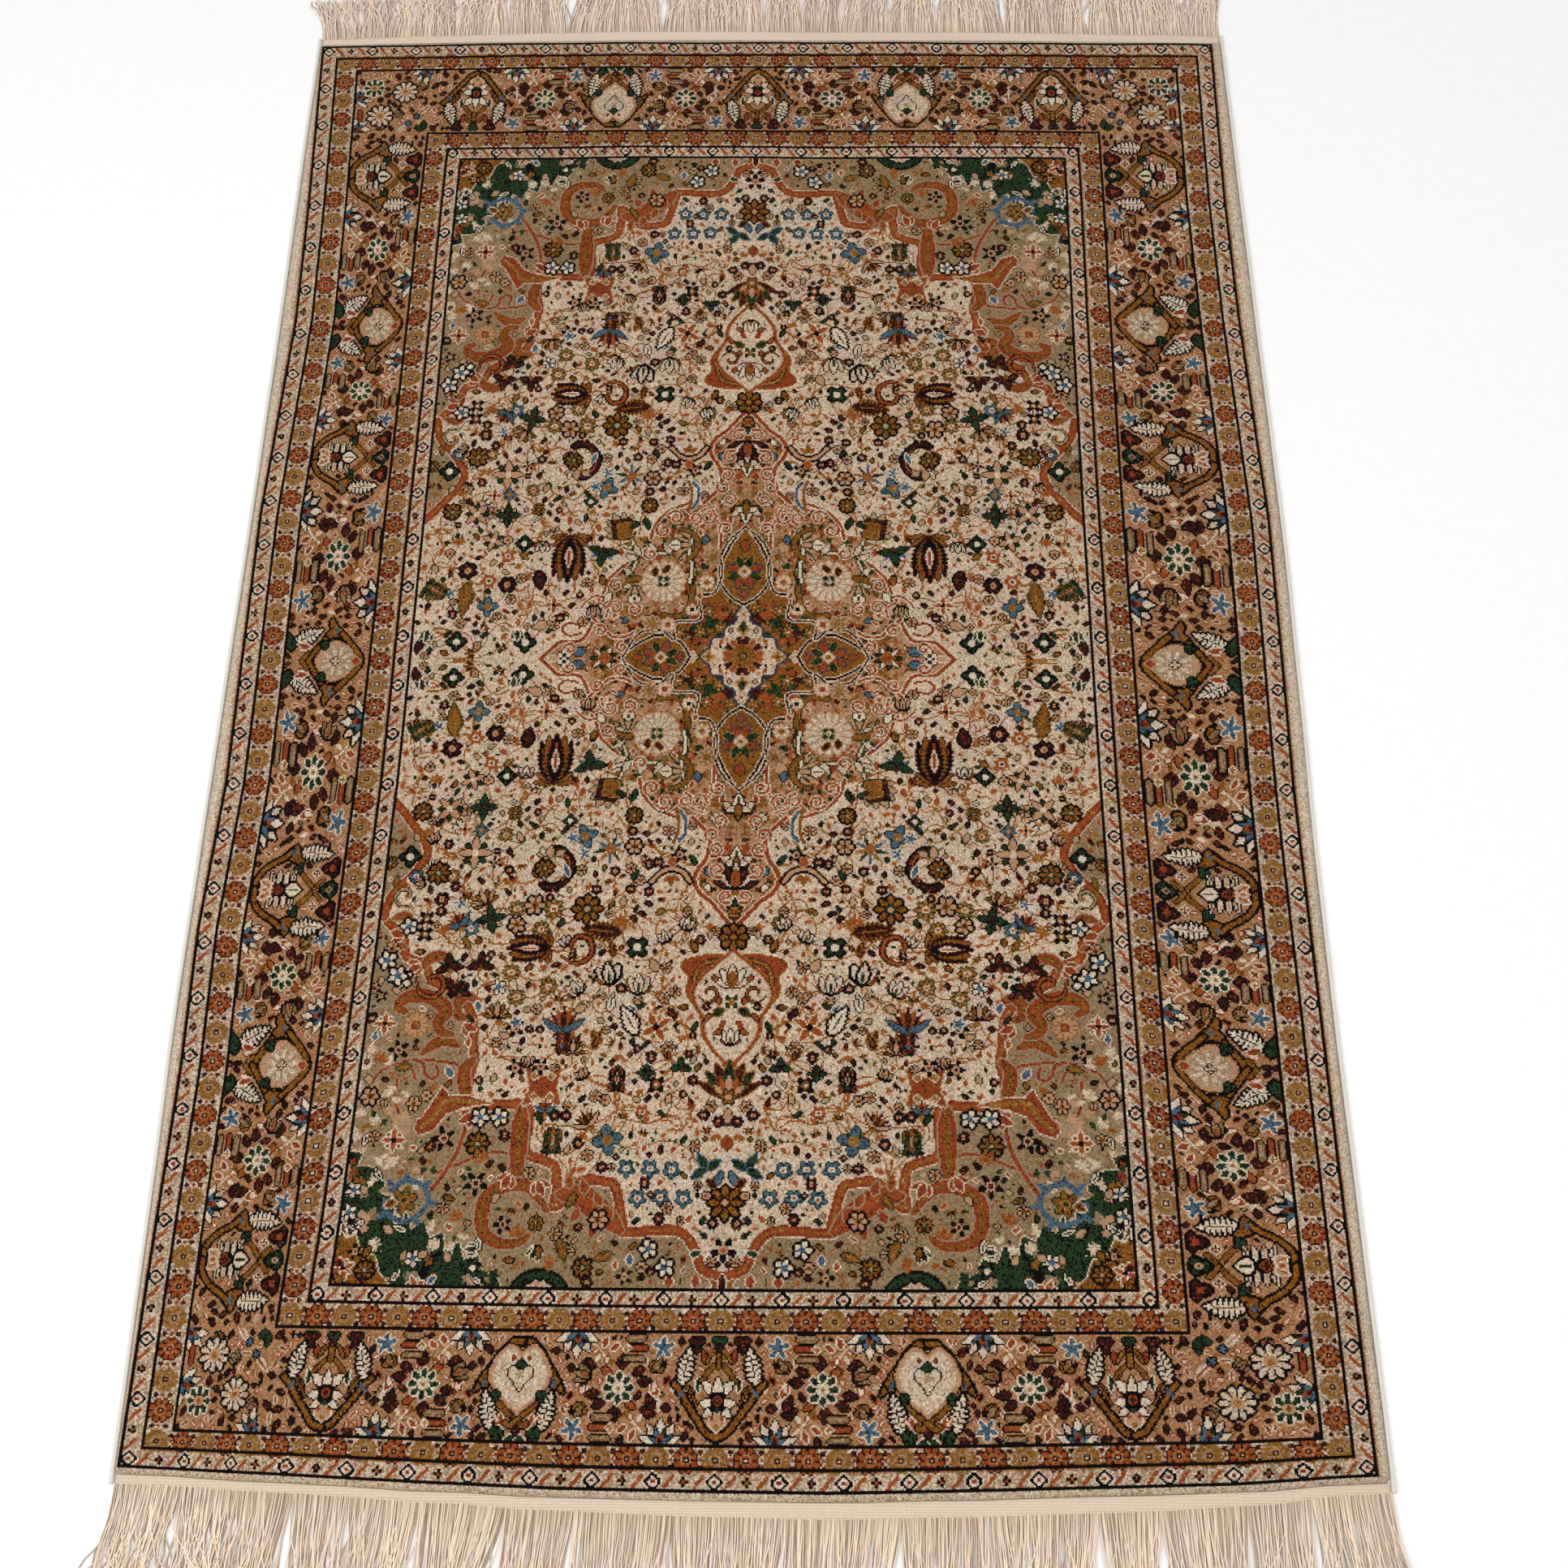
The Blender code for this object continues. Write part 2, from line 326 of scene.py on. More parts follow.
# The main border is knitted as a strip: x runs along it from the middle of its side, y from its inner edge
# outwards.
borderStations = {                # mm from the middle of each side
    "end": (("shield", 0), ("roundel", 189), ("shield", 372)),
    "side": (("wideRoundel", 0), ("wideShield", 268), ("wideRoundel", 455), ("wideShield", 664)),
}
borderDepth = 102                 # mm from the inner guard to the outer one
palmetteWidth = {"end": 0.82, "side": 1.0}  # the ends' palmettes are woven slimmer


def pairs(strip, x, rows):
    # motifs on both sides of a palmette's middle: what, across, down, size, the way the right one points, and
    # the rest of its settings
    for side in (-1, 1):
        for draw, across, down, size, turn, *rest in rows:
            draw(strip, x + side * across, down, size, turn if side > 0 else -180 - turn, *rest)


def bothSides(strip, x, points, yarn="ochre", width=4.8, edge="black", smooth=True):
    # the same band on both sides of a motif's own middle
    for side in (-1, 1):
        stroke(strip, [(x + side * across, down) for across, down in points], yarn, width, edge,
            smooth=smooth)


def bothWings(strip, x, points):
    for side in (-1, 1):
        area(strip, [(x + side * across, down) for across, down in points], "ochre", ("black", "black"))


def bothAreas(strip, x, points, yarn, layers=()):
    # a closed field that is its own mirror image; the points are its right half, from top to bottom
    area(strip, [(x + across, down) for across, down in points]
         + [(x - across, down) for across, down in points[::-1]], yarn, layers)


def feather(chart, x, y, size, turn=0, width=0.36, vein="green"):
    leaf(chart, x, y, size, turn, width, "white", "black", vein, teeth=0.5)


def knob(chart, x, y, size, turn=0, yarn="green", edge="black", deep=0.1):
    bloom(chart, x, y, size, turn, 3, yarn, edge, deep=deep)


def bead(chart, x, y, size, turn=0, yarn="brick", edge=None, deep=0.05):
    bloom(chart, x, y, size, turn, 4, yarn, edge, deep=deep)


def roundel(strip, x):
    # an ivory heart in a pointed ochre frame, its foot at the outer edge
    pairs(strip, x, ((feather, 29, 90, 38, -75), (knob, 21, 94, 8, 90),
                     (leaf, 14, 88, 15, -68, 0.36, "brick", "white"),
                     (leaf, 19, 84, 11, -50, 0.3, "white", "brick")))
    bothWings(strip, x, ((33, 31), (41, 37), (48, 46), (53, 57), (45, 52), (38, 51), (34, 43)))
    bothSides(strip, x, ((28, 60), (20, 67), (10, 75), (0, 82)), width=4.6)
    bothSides(strip, x, ((0, 8), (11, 9), (21, 16), (31, 29), (39, 38), (44, 45)))
    for side in (-1, 1):
        stroke(strip, [(x + side * 38, 44), (x + side * 41, 49)], "blue", 3.5, smooth=False)
        stroke(strip, [(x - side * 3, 79), (x + side * 7, 86), (x + side * 12, 84)], "ochre", 5, "black")
    bothAreas(strip, x, ((0, 24), (8, 17), (17, 16), (25, 24), (31, 36), (30, 46), (22, 57), (11, 65),
                         (0, 72)), "ivory", ("peach", "peach", "salmon", "black"))
    bothAreas(strip, x, ((0, 27), (7, 31), (13, 33), (13, 41), (8, 45), (4, 50), (0, 56)),
              "ivory", ("black",))
    bloom(strip, x, 39, 5, 0, 5, "beige", "ivory", deep=0.1)
    leaf(strip, x, 34, 9, -90, 1.3, "green", "black")
    pairs(strip, x, ((bead, 9, 24, 3.4, 0, "brick", "white"), (knob, 26, 59, 5.5, 90),
                     (leaf, 0, 97, 13, 8, 0.5, "green", "white")))
    bead(strip, x, 90, 4.5, 0, "maroon", "black", 0.1)


def wideRoundel(strip, x):
    # the same along the sides, smaller and round a pale disc
    pairs(strip, x, ((feather, 21, 90, 38, -60, 0.38), (leaf, 12, 93, 22, 15, 0.5, "green", "black"),
                     (leaf, 20, 86, 17, -102, 0.3, "brick", "white"),
                     (leaf, 12, 84, 11, -80, 0.4, "white", "brick")))
    bothWings(strip, x, ((28, 27), (37, 32), (43, 40), (55, 48), (47, 50), (40, 48), (34, 53), (25, 55),
                         (31, 43)))
    bothSides(strip, x, ((0, 8), (8, 11), (18, 19), (28, 28), (34, 34)))
    bothSides(strip, x, ((27, 53), (18, 60), (9, 66), (0, 72)))
    bothSides(strip, x, ((9, 73), (0, 80)), width=4)
    bothAreas(strip, x, ((0, 15), (8, 17), (18, 25), (24, 36), (24, 44), (17, 54), (8, 60), (0, 63)),
              "peach", ("salmon", "black"))
    bloom(strip, x, 37, 20, 20, 9, "ivory", "beige", deep=0.1)
    for turn in range(20, 380, 40):
        leaf(strip, *toward(x, 37, turn, 6), 13, turn, 0.4, "ivory", "beige")
    bloom(strip, x, 38, 5, 0, 4, "ivory", "black", "peach", deep=0.2)
    leaf(strip, x, 10, 10, 90, 0.9, "brick", "peach")
    bothSides(strip, x, ((36, 42), (41, 42)), "blue", 4, None, False)
    pairs(strip, x, ((knob, 20, 54, 6, 90),))


def shield(strip, x):
    # a white palmette in an ochre shield that points to the outer edge, under maroon buds and pale feathers
    pairs(strip, x, ((feather, 43, 48, 38, -106), (knob, 26, 9, 9.5, 90, "maroon", "black", 0.22),
                     (leaf, 15, 28, 14, -74, 0.5, "brick", "black"),
                     (leaf, 23, 53, 15, -90, 0.32, "green", "white"),
                     (leaf, 27, 58, 14, -60, 0.34, "ochre", "black")))
    bothSides(strip, x, ((0, 27), (9, 32), (19, 43)), width=4.2)
    bothSides(strip, x, ((2, 15), (9, 18), (13, 25)), width=3.5)
    bothSides(strip, x, ((51, 46), (43, 53), (35, 63), (28, 71), (20, 80), (13, 88), (6, 92), (0, 93)),
        width=5)
    for side in (-1, 1):
        stroke(strip, [(x + side * 39, 52), (x + side * 44, 57)], "blue", 3.5, smooth=False)
        stroke(strip, [(x + side * 37, 47), (x + side * 31, 54), (x + side * 24, 64)], "ochre", 2, "black")
    stroke(strip, [(x, 14), (x, 29)], "ochre", 5, "black")
    knob(strip, x, 8, 8, 90, deep=0.2)
    bead(strip, x, 13, 3, 0, "maroon")
    bothAreas(strip, x, ((0, 70), (8, 74), (9, 82), (0, 88)), "peach", ("white",))
    for lean, reach, start in ((150, 15, 58), (128, 18, 54), (95, 17, 64), (62, 14, 68)):
        pairs(strip, x, ((leaf, 4, start, reach, 90 - lean, 0.5, "white", "black"),))
    leaf(strip, x, 60, 21, -90, 0.5, "white", "black")
    bothAreas(strip, x, ((0, 54), (6, 55), (7, 68), (0, 70)), "black", ("black",))
    bead(strip, x, 61, 3.6, 0, "maroon", "brick")
    leaf(strip, x, 73, 6, -90, 0.8, "green")
    pairs(strip, x, ((bead, 6, 76, 2.6, 0),))
    bead(strip, x, 84, 3, 0, "gold")


def wideShield(strip, x):
    # the shield as it is along the sides: a closed frame round a flower seen from its side
    pairs(strip, x, ((feather, 42, 50, 38, -94, 0.4, "tan"),
                     (bloom, 24, 11, 10, 90, 3, "maroon", "black", "brick", None, 0.2),
                     (bloom, 18, 28, 4.5, 90, 4, "maroon", "white", "rust", None, 0.15)))
    bothSides(strip, x, ((43, 18), (52, 18)), "black", 2.4, None, False)
    bothWings(strip, x, ((51, 55), (45, 51), (37, 50), (32, 44), (29, 48), (32, 57), (36, 66), (41, 66)))
    bothSides(strip, x, ((42, 60), (35, 68), (29, 79), (20, 90), (9, 95), (0, 96)))
    bothSides(strip, x, ((0, 29), (9, 36), (16, 43), (21, 49)), width=4.6)
    bothSides(strip, x, ((0, 29), (6, 25), (11, 20)), width=4)
    bothSides(strip, x, ((39, 58), (44, 56)), "blue", 3.5, None, False)
    pairs(strip, x, ((knob, 24, 49, 6, 90), *(
        (leaf, 5, down, 17, lean, 0.34, "ivory", "black", vein) for down, lean, vein in (
            (55, -12, "green"), (62, -5, None), (69, 3, "peach"), (76, 10, "green"))),
        (leaf, 2, 78, 14, 56, 0.6, "peach", "white", "brick")))
    bloom(strip, x, 12, 9, 90, 3, "green", "black", "peach", "maroon", deep=0.14)
    leaf(strip, x, 61, 18, -90, 0.85, "white", "black", "green")
    bloom(strip, x, 68, 8.5, 0, 8, "black", deep=0.05)
    bead(strip, x, 70, 4.5, 0, "maroon", "brick", 0.1)
    leaf(strip, x, 80, 9, 90, 0.7, "peach", "white", "brick")


def stripedBox(strip, x, y):
    # three short bars, the middle one tipped with a pale star
    for offset, slide, yarn, light in ((-9.5, 1, "tan", "beige"), (9.5, 0, "tan", "beige"),
            (0, 2, "brick", "rust")):
        left, right = x + slide - 7.5, x + slide + 7
        stroke(strip, [(left, y + offset), (right, y + offset)], yarn, 5.5, "black", smooth=False)
        stroke(strip, [(left + 2, y + offset), (right - 2, y + offset)], light, smooth=False)
    bead(strip, x - 8, y, 3, 0, "gold", "white")


def halfFlower(strip, x, y, turn):
    # white petals with blue and green between them, growing from the border's edge
    fan(strip, x, y, 24, turn, 5, 140, ("white", "ivory"), "black", width=0.4)
    fan(strip, x, y, 16, turn, 4, 105, ("green", "blue"), "black", width=0.3)
    fan(strip, x, y, 11, turn, 3, 120, ("blue", "brick"), None, width=0.6)
    leaf(strip, x, y, 6, turn, 0.9, "maroon")


def cluster(strip, roundelAt, shieldAt):
    # a green rosette between two palmettes, with the same small things turned half round on its other side;
    # it is drawn on a strip stretched to fit, x from its middle towards the shield
    stretch = abs(shieldAt - roundelAt) / 188
    x, yarns = (strip["x"] - (roundelAt + shieldAt) / 2) / stretch, strip["yarn"]
    if shieldAt < roundelAt:
        x, yarns = -x[::-1], yarns[:, ::-1]
    upright = {"yarn": yarns, "x": x, "y": strip["y"]}
    turned = {"yarn": yarns[::-1, ::-1], "x": -x[::-1], "y": 100 - strip["y"][::-1]}
    for half in (upright, turned):
        stroke(half, [(-31, 27), (-20, 17), (-6, 15), (5, 15)], "gold")
        stroke(half, [(-27, 9), (-17, 18), (-9, 33)], "white")
        for across, down, size, angle, width, yarn, edge in (
                (-17, 13, 11, -70, 0.5, "brick", "white"), (-9, 16, 10, -40, 0.5, "brick", "white"),
                (-19, 19, 10, 120, 0.4, "white", None), (-14, 22, 10, 60, 0.4, "white", "brick"),
                (-17, 32, 13, 30, 0.5, "rust", "black"), (-4, 24, 11, 150, 0.5, "ochre", None),
                (-40, 30, 14, 75, 0.5, "ivory", "peach"), (-37, 43, 12, 60, 0.55, "brick", "white"),
                (-33, 47, 10, 100, 0.5, "white", "brick"), (-50, 31, 10, 20, 0.6, "maroon", "black"),
                (-35, 26, 14, 25, 0.72, "maroon", "black"), (-33, 30, 15, 70, 0.6, "maroon", "black"),
                (29, 27, 15, 30, 0.75, "ochre", "black"), (33, 34, 13, -60, 0.42, "tan", "black"),
                (44, 24, 10, 100, 0.45, "black", None), (22, 22, 8, 60, 0.5, "brick", "white"),
                (3, 33, 14, -95, 0.75, "maroon", "black"), (13, 38, 13, -30, 0.6, "maroon", "black"),
                (18, 45, 14, -8, 0.6, "maroon", "black"), (47, 39, 9, 120, 0.5, "black", "rust"),
                (27, 55, 9, 0, 0.5, "white", "brick"), (50, 45, 10, 80, 0.4, "white", None)):
            leaf(half, across, down, size, angle, width, yarn, edge)
        halfFlower(half, -42, 0, 90)
        stripedBox(half, 14, 14)
        spark(half, 41, 13, 10.5, -90)
        tulip(half, 28, 60, 16, 15, "tan", "black", "brick", "maroon")
    bloom(upright, 0, 50, 15, 0, 8, "green", "white", "peach", "ochre", deep=0.14)
    bloom(upright, 0, 50, 6.5, 0, 8, "white", None, "peach", "ochre", deep=0.14)


palmettes = {
    "roundel": roundel,
    "shield": shield,
    "wideRoundel": wideRoundel,
    "wideShield": wideShield,
}


def borderStrip(side, length):
    strip = blankChart(round(length / knot), round(borderDepth / knot), True)
    strip["yarn"][:] = yarnNumber["salmon"]
    stations = borderStations[side]
    for (kind, start), (_, end) in zip(stations, stations[1:]):
        cluster(strip, *((start, end) if "oundel" in kind else (end, start)))
    for kind, x in stations:
        palmettes[kind]({**strip, "x": x + (strip["x"] - x) / palmetteWidth[side]}, x)
    fillBare(strip, "salmon", borderSeeds, 1.0, 3200, 8)
    return strip["yarn"]


def corner():
    # two white rosettes and a green one, where the borders meet
    chart = blankChart(round(borderDepth / knot), round(borderDepth / knot), True)
    chart["yarn"][:] = yarnNumber["salmon"]
    stroke(chart, ((12, 6), (30, 44), (52, 52), (80, 50)), "gold", 3)
    stroke(chart, ((52, 52), (55, 75), (30, 90)), "gold")
    for x, y, turn in ((16, 26, 135), (26, 14, -45)):
        leaf(chart, x, y, 26, turn, 0.3, "ivory", "tan", "brick")
        bloom(chart, x, y, 4, 0, 5, "blue", "black", deep=0.05)
    for turn in (10, 80):
        leaf(chart, 4, 5, 15, turn, 0.5, "green", "black")
    tulip(chart, 36, 34, 13, -45, "tan", "black", "maroon", "brick")
    tulip(chart, 60, 6, 13, 60, "tan", "black", "brick", "maroon")
    tulip(chart, 6, 72, 13, 30, "tan", "black", "brick", "maroon")
    for x, y, turn in ((100, 6, 180), (8, 100, -90), (98, 56, 160)):
        halfFlower(chart, x, y, turn)
    stroke(chart, ((92, 20), (92, 36)), "brick", 4, "black", smooth=False)
    bloom(chart, 65, 27, 17, 18, 10, "ivory", "black", "peach", "gold", deep=0.1)
    bloom(chart, 34, 65, 16, 0, 10, "ivory", "black", "peach", "gold", deep=0.1)
    bloom(chart, 76, 72, 14.5, 0, 8, "green", "white", "peach", "ochre", deep=0.12)
    fillBare(chart, "salmon", borderSeeds, 1.4, 900, 3)
    return chart["yarn"]


# The narrow guards are knitted on the whole chart, because their slashes don't mirror.
guardRepeats = {                  # how many rosettes and flowers lie from corner to corner
    "barber": {"end": 14, "side": 23},
    "rosette": {"end": 32, "side": 50},
    "outerRosette": {"end": 40, "side": 56},
    "outerBarber": {"end": 20, "side": 29},
}
stripes = {                       # the lines that each stripe lies between
    "barber": ("field", "rosette"),
    "rosette": ("rosette", "main"),
    "outerRosette": ("outerRosette", "outerBarber"),
    "outerBarber": ("outerBarber", "edge"),
}
# petals, what divides them, and the ring inside
rosetteYarns = (("gold", "tan", "beige"), ("rust", "maroon", "salmon"))


def guardRosette(chart, x, y, yarns):
    view, along, aside = around(chart, x, y, 14)
    petal, groove, heart = yarns
    radius = np.hypot(along, aside)
    wave = np.cos(8 * np.arctan2(aside, along) + math.pi)
    square = np.maximum(np.abs(along), np.abs(aside))
    petals = radius < 10.3 + 0.8 * wave
    knit(view, petals, petal, groove)
    view[petals & (wave < -0.5) & (radius > 5.4)] = yarnNumber[groove]
    view[(radius > 3.8) & (radius < 5)] = yarnNumber[heart]
    knit(view, square < 2.6, "maroon")
    knit(view, square < 1, "ivory")


def barberFlower(chart, x, y):
    view, along, aside = around(chart, x, y, 10)
    radius = np.hypot(along, aside)
    lobed = radius * (1.12 - 0.12 * np.cos(4 * np.arctan2(aside, along)))
    knit(view, lobed < 8, "black", "white")
    knit(view, lobed < 4.9, "white")
    knit(view, radius < 2.2, "brick")


def barberCross(chart, x, y):
    view, along, aside = around(chart, x, y, 8)
    arms = np.minimum(np.abs(along), np.abs(aside)) < 1.7
    knit(view, arms & (np.hypot(along, aside) < 4.4), "black")
    knit(view, np.hypot(along, aside) < 1.6, "rust")


def guardRun(chart, start, end, repeats, kind, slash):
    # one stripe of a guard from corner to corner; slash is the way its slashes lean, in degrees
    step = ((end[0] - start[0]) / repeats, (end[1] - start[1]) / repeats)
    for number in range(repeats + 1):
        x, y = start[0] + number * step[0], start[1] + number * step[1]
        last = number == repeats
        if "osette" in kind:
            guardRosette(chart, x, y, rosetteYarns[number % 2])
            if not last:
                for aside in (-6.5, 6.5):
                    mark = (x + step[0] / 2 + aside * bool(step[1]), y + step[1] / 2 + aside * bool(step[0]))
                    bloom(chart, *mark, 2.6, 0, 4, "maroon", deep=0.05)
                bloom(chart, x + step[0] / 2, y + step[1] / 2, 1.8, 0, 4, "brick", deep=0.05)
            continue
        barberFlower(chart, x, y)
        if last:
            continue
        barberCross(chart, x + step[0] / 2, y + step[1] / 2)
        for share in (0.25, 0.75):
            middle = (x + share * step[0], y + share * step[1])
            stroke(chart, [toward(*middle, slash, reach) for reach in (-6.2, 6.2)], "rust", 3.4, smooth=False)


def drawGuards(chart):
    across, down = np.abs(chart["x"])[None, :], np.abs(chart["y"])[:, None]
    yarn = chart["yarn"]
    mottled = np.random.default_rng(3).random(yarn.shape) < 0.42
    names = list(guards)
    for inner, outer in zip(names, names[1:]):
        if inner == "main":
            continue
        (x0, y0), (x1, y1) = guards[inner], guards[outer]
        ground = (across < x1) & (down < y1) & ((across > x0) | (down > y0))
        yarn[ground] = yarnNumber["ivory"]
        yarn[ground & mottled] = yarnNumber["beige"]
    for name, repeats in guardRepeats.items():
        before, after = stripes[name]
        x = (guards[before][0] + guards[after][0]) / 2
        y = (guards[before][1] + guards[after][1]) / 2
        for side in (-1, 1):
            guardRun(chart, (-x, side * y), (x, side * y), repeats["end"], name, -side * 50)
            guardRun(chart, (side * x, -y), (side * x, y), repeats["side"], name, side * 50)


def drawLines(chart):
    across, down = np.abs(chart["x"])[None, :], np.abs(chart["y"])[:, None]
    yarn = chart["yarn"]
    for x, y in guards.values():
        inside = (across < x) & (down < y)
        yarn[inside & ~((across < x - 2 * knot) & (down < y - 2 * knot))] = yarnNumber["black"]


# The field is knitted as one quarter, from the middle of the rug to the inner guard, and mirrored both ways.
# Its small motifs are the border's too.
motifKinds = {                    # what draws each, and its settings after the place, size and turn
    "rustBud": (bud, "rust", "gold", "white"),
    "maroonBud": (bud, "maroon", "rust"),
    "peachBud": (bud, "peach", "green", "green"),
    "ochreBud": (bud, "ochre", "black", "black"),
    "blueBud": (bud, "blue", "rust", "white"),
    "greenBud": (bud, "green", "maroon", "black"),
    "greenLeaf": (leaf, 0.4, "green", "black"),
    "peachLeaf": (leaf, 0.6, "peach", "green"),
    "blueLeaf": (leaf, 0.36, "blue", "white"),
    "darkLeaf": (leaf, 0.5, "maroon", "black", None, 0.2),
    "rustLeaf": (leaf, 0.45, "rust", "peach", None, -0.2),
    "whiteLeaf": (leaf, 0.4, "white", "black", "green", 0.0, 0.2),
    "ochreLeaf": (leaf, 0.36, "ochre", "green", "gold", 0.0, 0.3),
    "brownLeaf": (leaf, 0.4, "maroon", "gold", "ochre", 0.0, 0.3),
    "maroonSix": (bloom, 6, "maroon", "black", "peach", "rust"),
    "rustSix": (bloom, 6, "rust", None, "ivory", "maroon"),
    "peachSix": (bloom, 6, "peach", "black", "ochre", "maroon"),
    "tanFlower": (bloom, 8, "gold", "green", "ivory", "rust"),
    "greenFour": (bloom, 4, "green", "black", "white", None, 0.25),
    "blueFour": (bloom, 4, "blue", "green", "gold", None, 0.25),
    "blackFour": (bloom, 4, "black", None, "ochre", "ivory", 0.25),
    "blackStar": (bloom, 5, "black", None, "peach", "maroon", 0.3),
    "whiteFlower": (bloom, 5, "white", "black", "blue", None, 0.2),
    "ochreFlower": (bloom, 8, "ochre", "black", "green", "peach"),
    "blueFlower": (bloom, 5, "blue", "green", "white", "rust"),
    "cross": (cross,),
    "greenCross": (cross, "green", "black", "peach", "maroon"),
    "rustCross": (cross, "rust", "white", "ochre", "black"),
    "tulip": (tulip, "ivory"),
    "peachTulip": (tulip, "peach", "black", "maroon", "green"),
    "greenTulip": (tulip, "green", "white", "maroon", "ochre"),
    "trefoil": (trefoil,),
    "darkTrefoil": (trefoil, "maroon", "green", "ochre"),
    "wings": (wings,),
    "blueWings": (wings, "blue", "green", "maroon", "rust"),
    "curl": (curl,),
    "scroll": (curl, "brick", None, 1, "ivory", True),
    "backScroll": (curl, "brick", None, -1, "ivory", True),
    "greenCurl": (curl, "green", "peach", -1),
    "spark": (spark,),
    "darkSeed": (leaf, 0.55, "black"),
    "rustSeed": (leaf, 0.55, "rust"),
    "greenSeed": (leaf, 0.55, "green"),
    "goldSeed": (leaf, 0.5, "ochre"),
    "maroonSeed": (leaf, 0.5, "maroon", "black"),
    "whiteSeed": (leaf, 0.4, "ivory", "brick"),
    "paleSeed": (leaf, 0.3, "brick", "ivory"),
    "sprig": (sprig,),
    "greenSprig": (sprig, "rust", "green"),
    "rustSpray": (fan, 5, 110, ("rust", "gold")),
    "ochreSpray": (fan, 5, 140, ("ochre", "maroon"), None, 0.3),
    "lotus": (fan, 7, 170, ("ochre", "peach"), "black", 0.26),
    "darkPalmette": (palmette, ("black", "ochre"), "maroon"),
    "rustPalmette": (palmette, ("green", "rust"), "black", "peach", "maroon"),
    "ochrePalmette": (palmette, ("ochre", "maroon"), "green", "peach", "rust"),
    "bluePalmette": (palmette, ("blue", "green"), "maroon", "white", "rust"),
}

vines = (                         # thin gold stems on the ivory ground
    ((58, 222), (66, 232), (64, 250), (48, 262), (44, 282), (56, 300), (74, 302), (84, 322), (76, 342)),
    ((74, 342), (92, 356), (116, 352), (140, 338), (150, 316), (142, 294), (120, 280), (110, 262),
     (118, 236)),
    ((118, 236), (132, 214), (158, 204), (186, 208), (206, 222), (226, 212), (246, 190), (240, 162),
     (252, 140)),
    ((208, 154), (210, 176), (224, 190), (214, 206)),
    ((252, 140), (272, 150), (296, 140), (312, 118), (300, 92), (306, 66), (290, 46), (268, 28), (300, 4),
     (345, 2)),
    ((246, 190), (268, 206), (300, 214), (330, 204), (346, 176), (336, 152)),
    ((160, 299), (186, 300), (208, 322), (234, 320), (252, 298), (270, 306), (290, 296), (312, 304),
     (326, 288)),
    ((252, 298), (244, 272), (256, 250), (284, 252), (310, 240), (334, 244)),
    ((208, 322), (200, 350), (182, 362), (160, 352), (140, 362), (116, 376), (100, 400), (108, 424)),
    ((182, 362), (204, 378), (230, 372), (250, 352), (276, 356), (300, 366), (312, 346)),
    ((100, 400), (80, 414), (62, 406), (50, 424), (44, 446), (56, 466), (75, 488), (92, 500), (116, 494)),
    ((116, 494), (140, 486), (166, 470), (190, 462), (220, 466), (244, 456), (258, 430)),
    ((116, 494), (104, 520), (112, 546), (90, 552), (64, 544), (40, 552), (30, 566)),
    ((116, 530), (140, 544), (166, 560), (180, 544)),
    ((84, 206), (98, 214), (120, 208), (134, 192)),
    ((176, 66), (192, 74), (206, 62), (222, 70), (230, 92), (222, 110)),
)

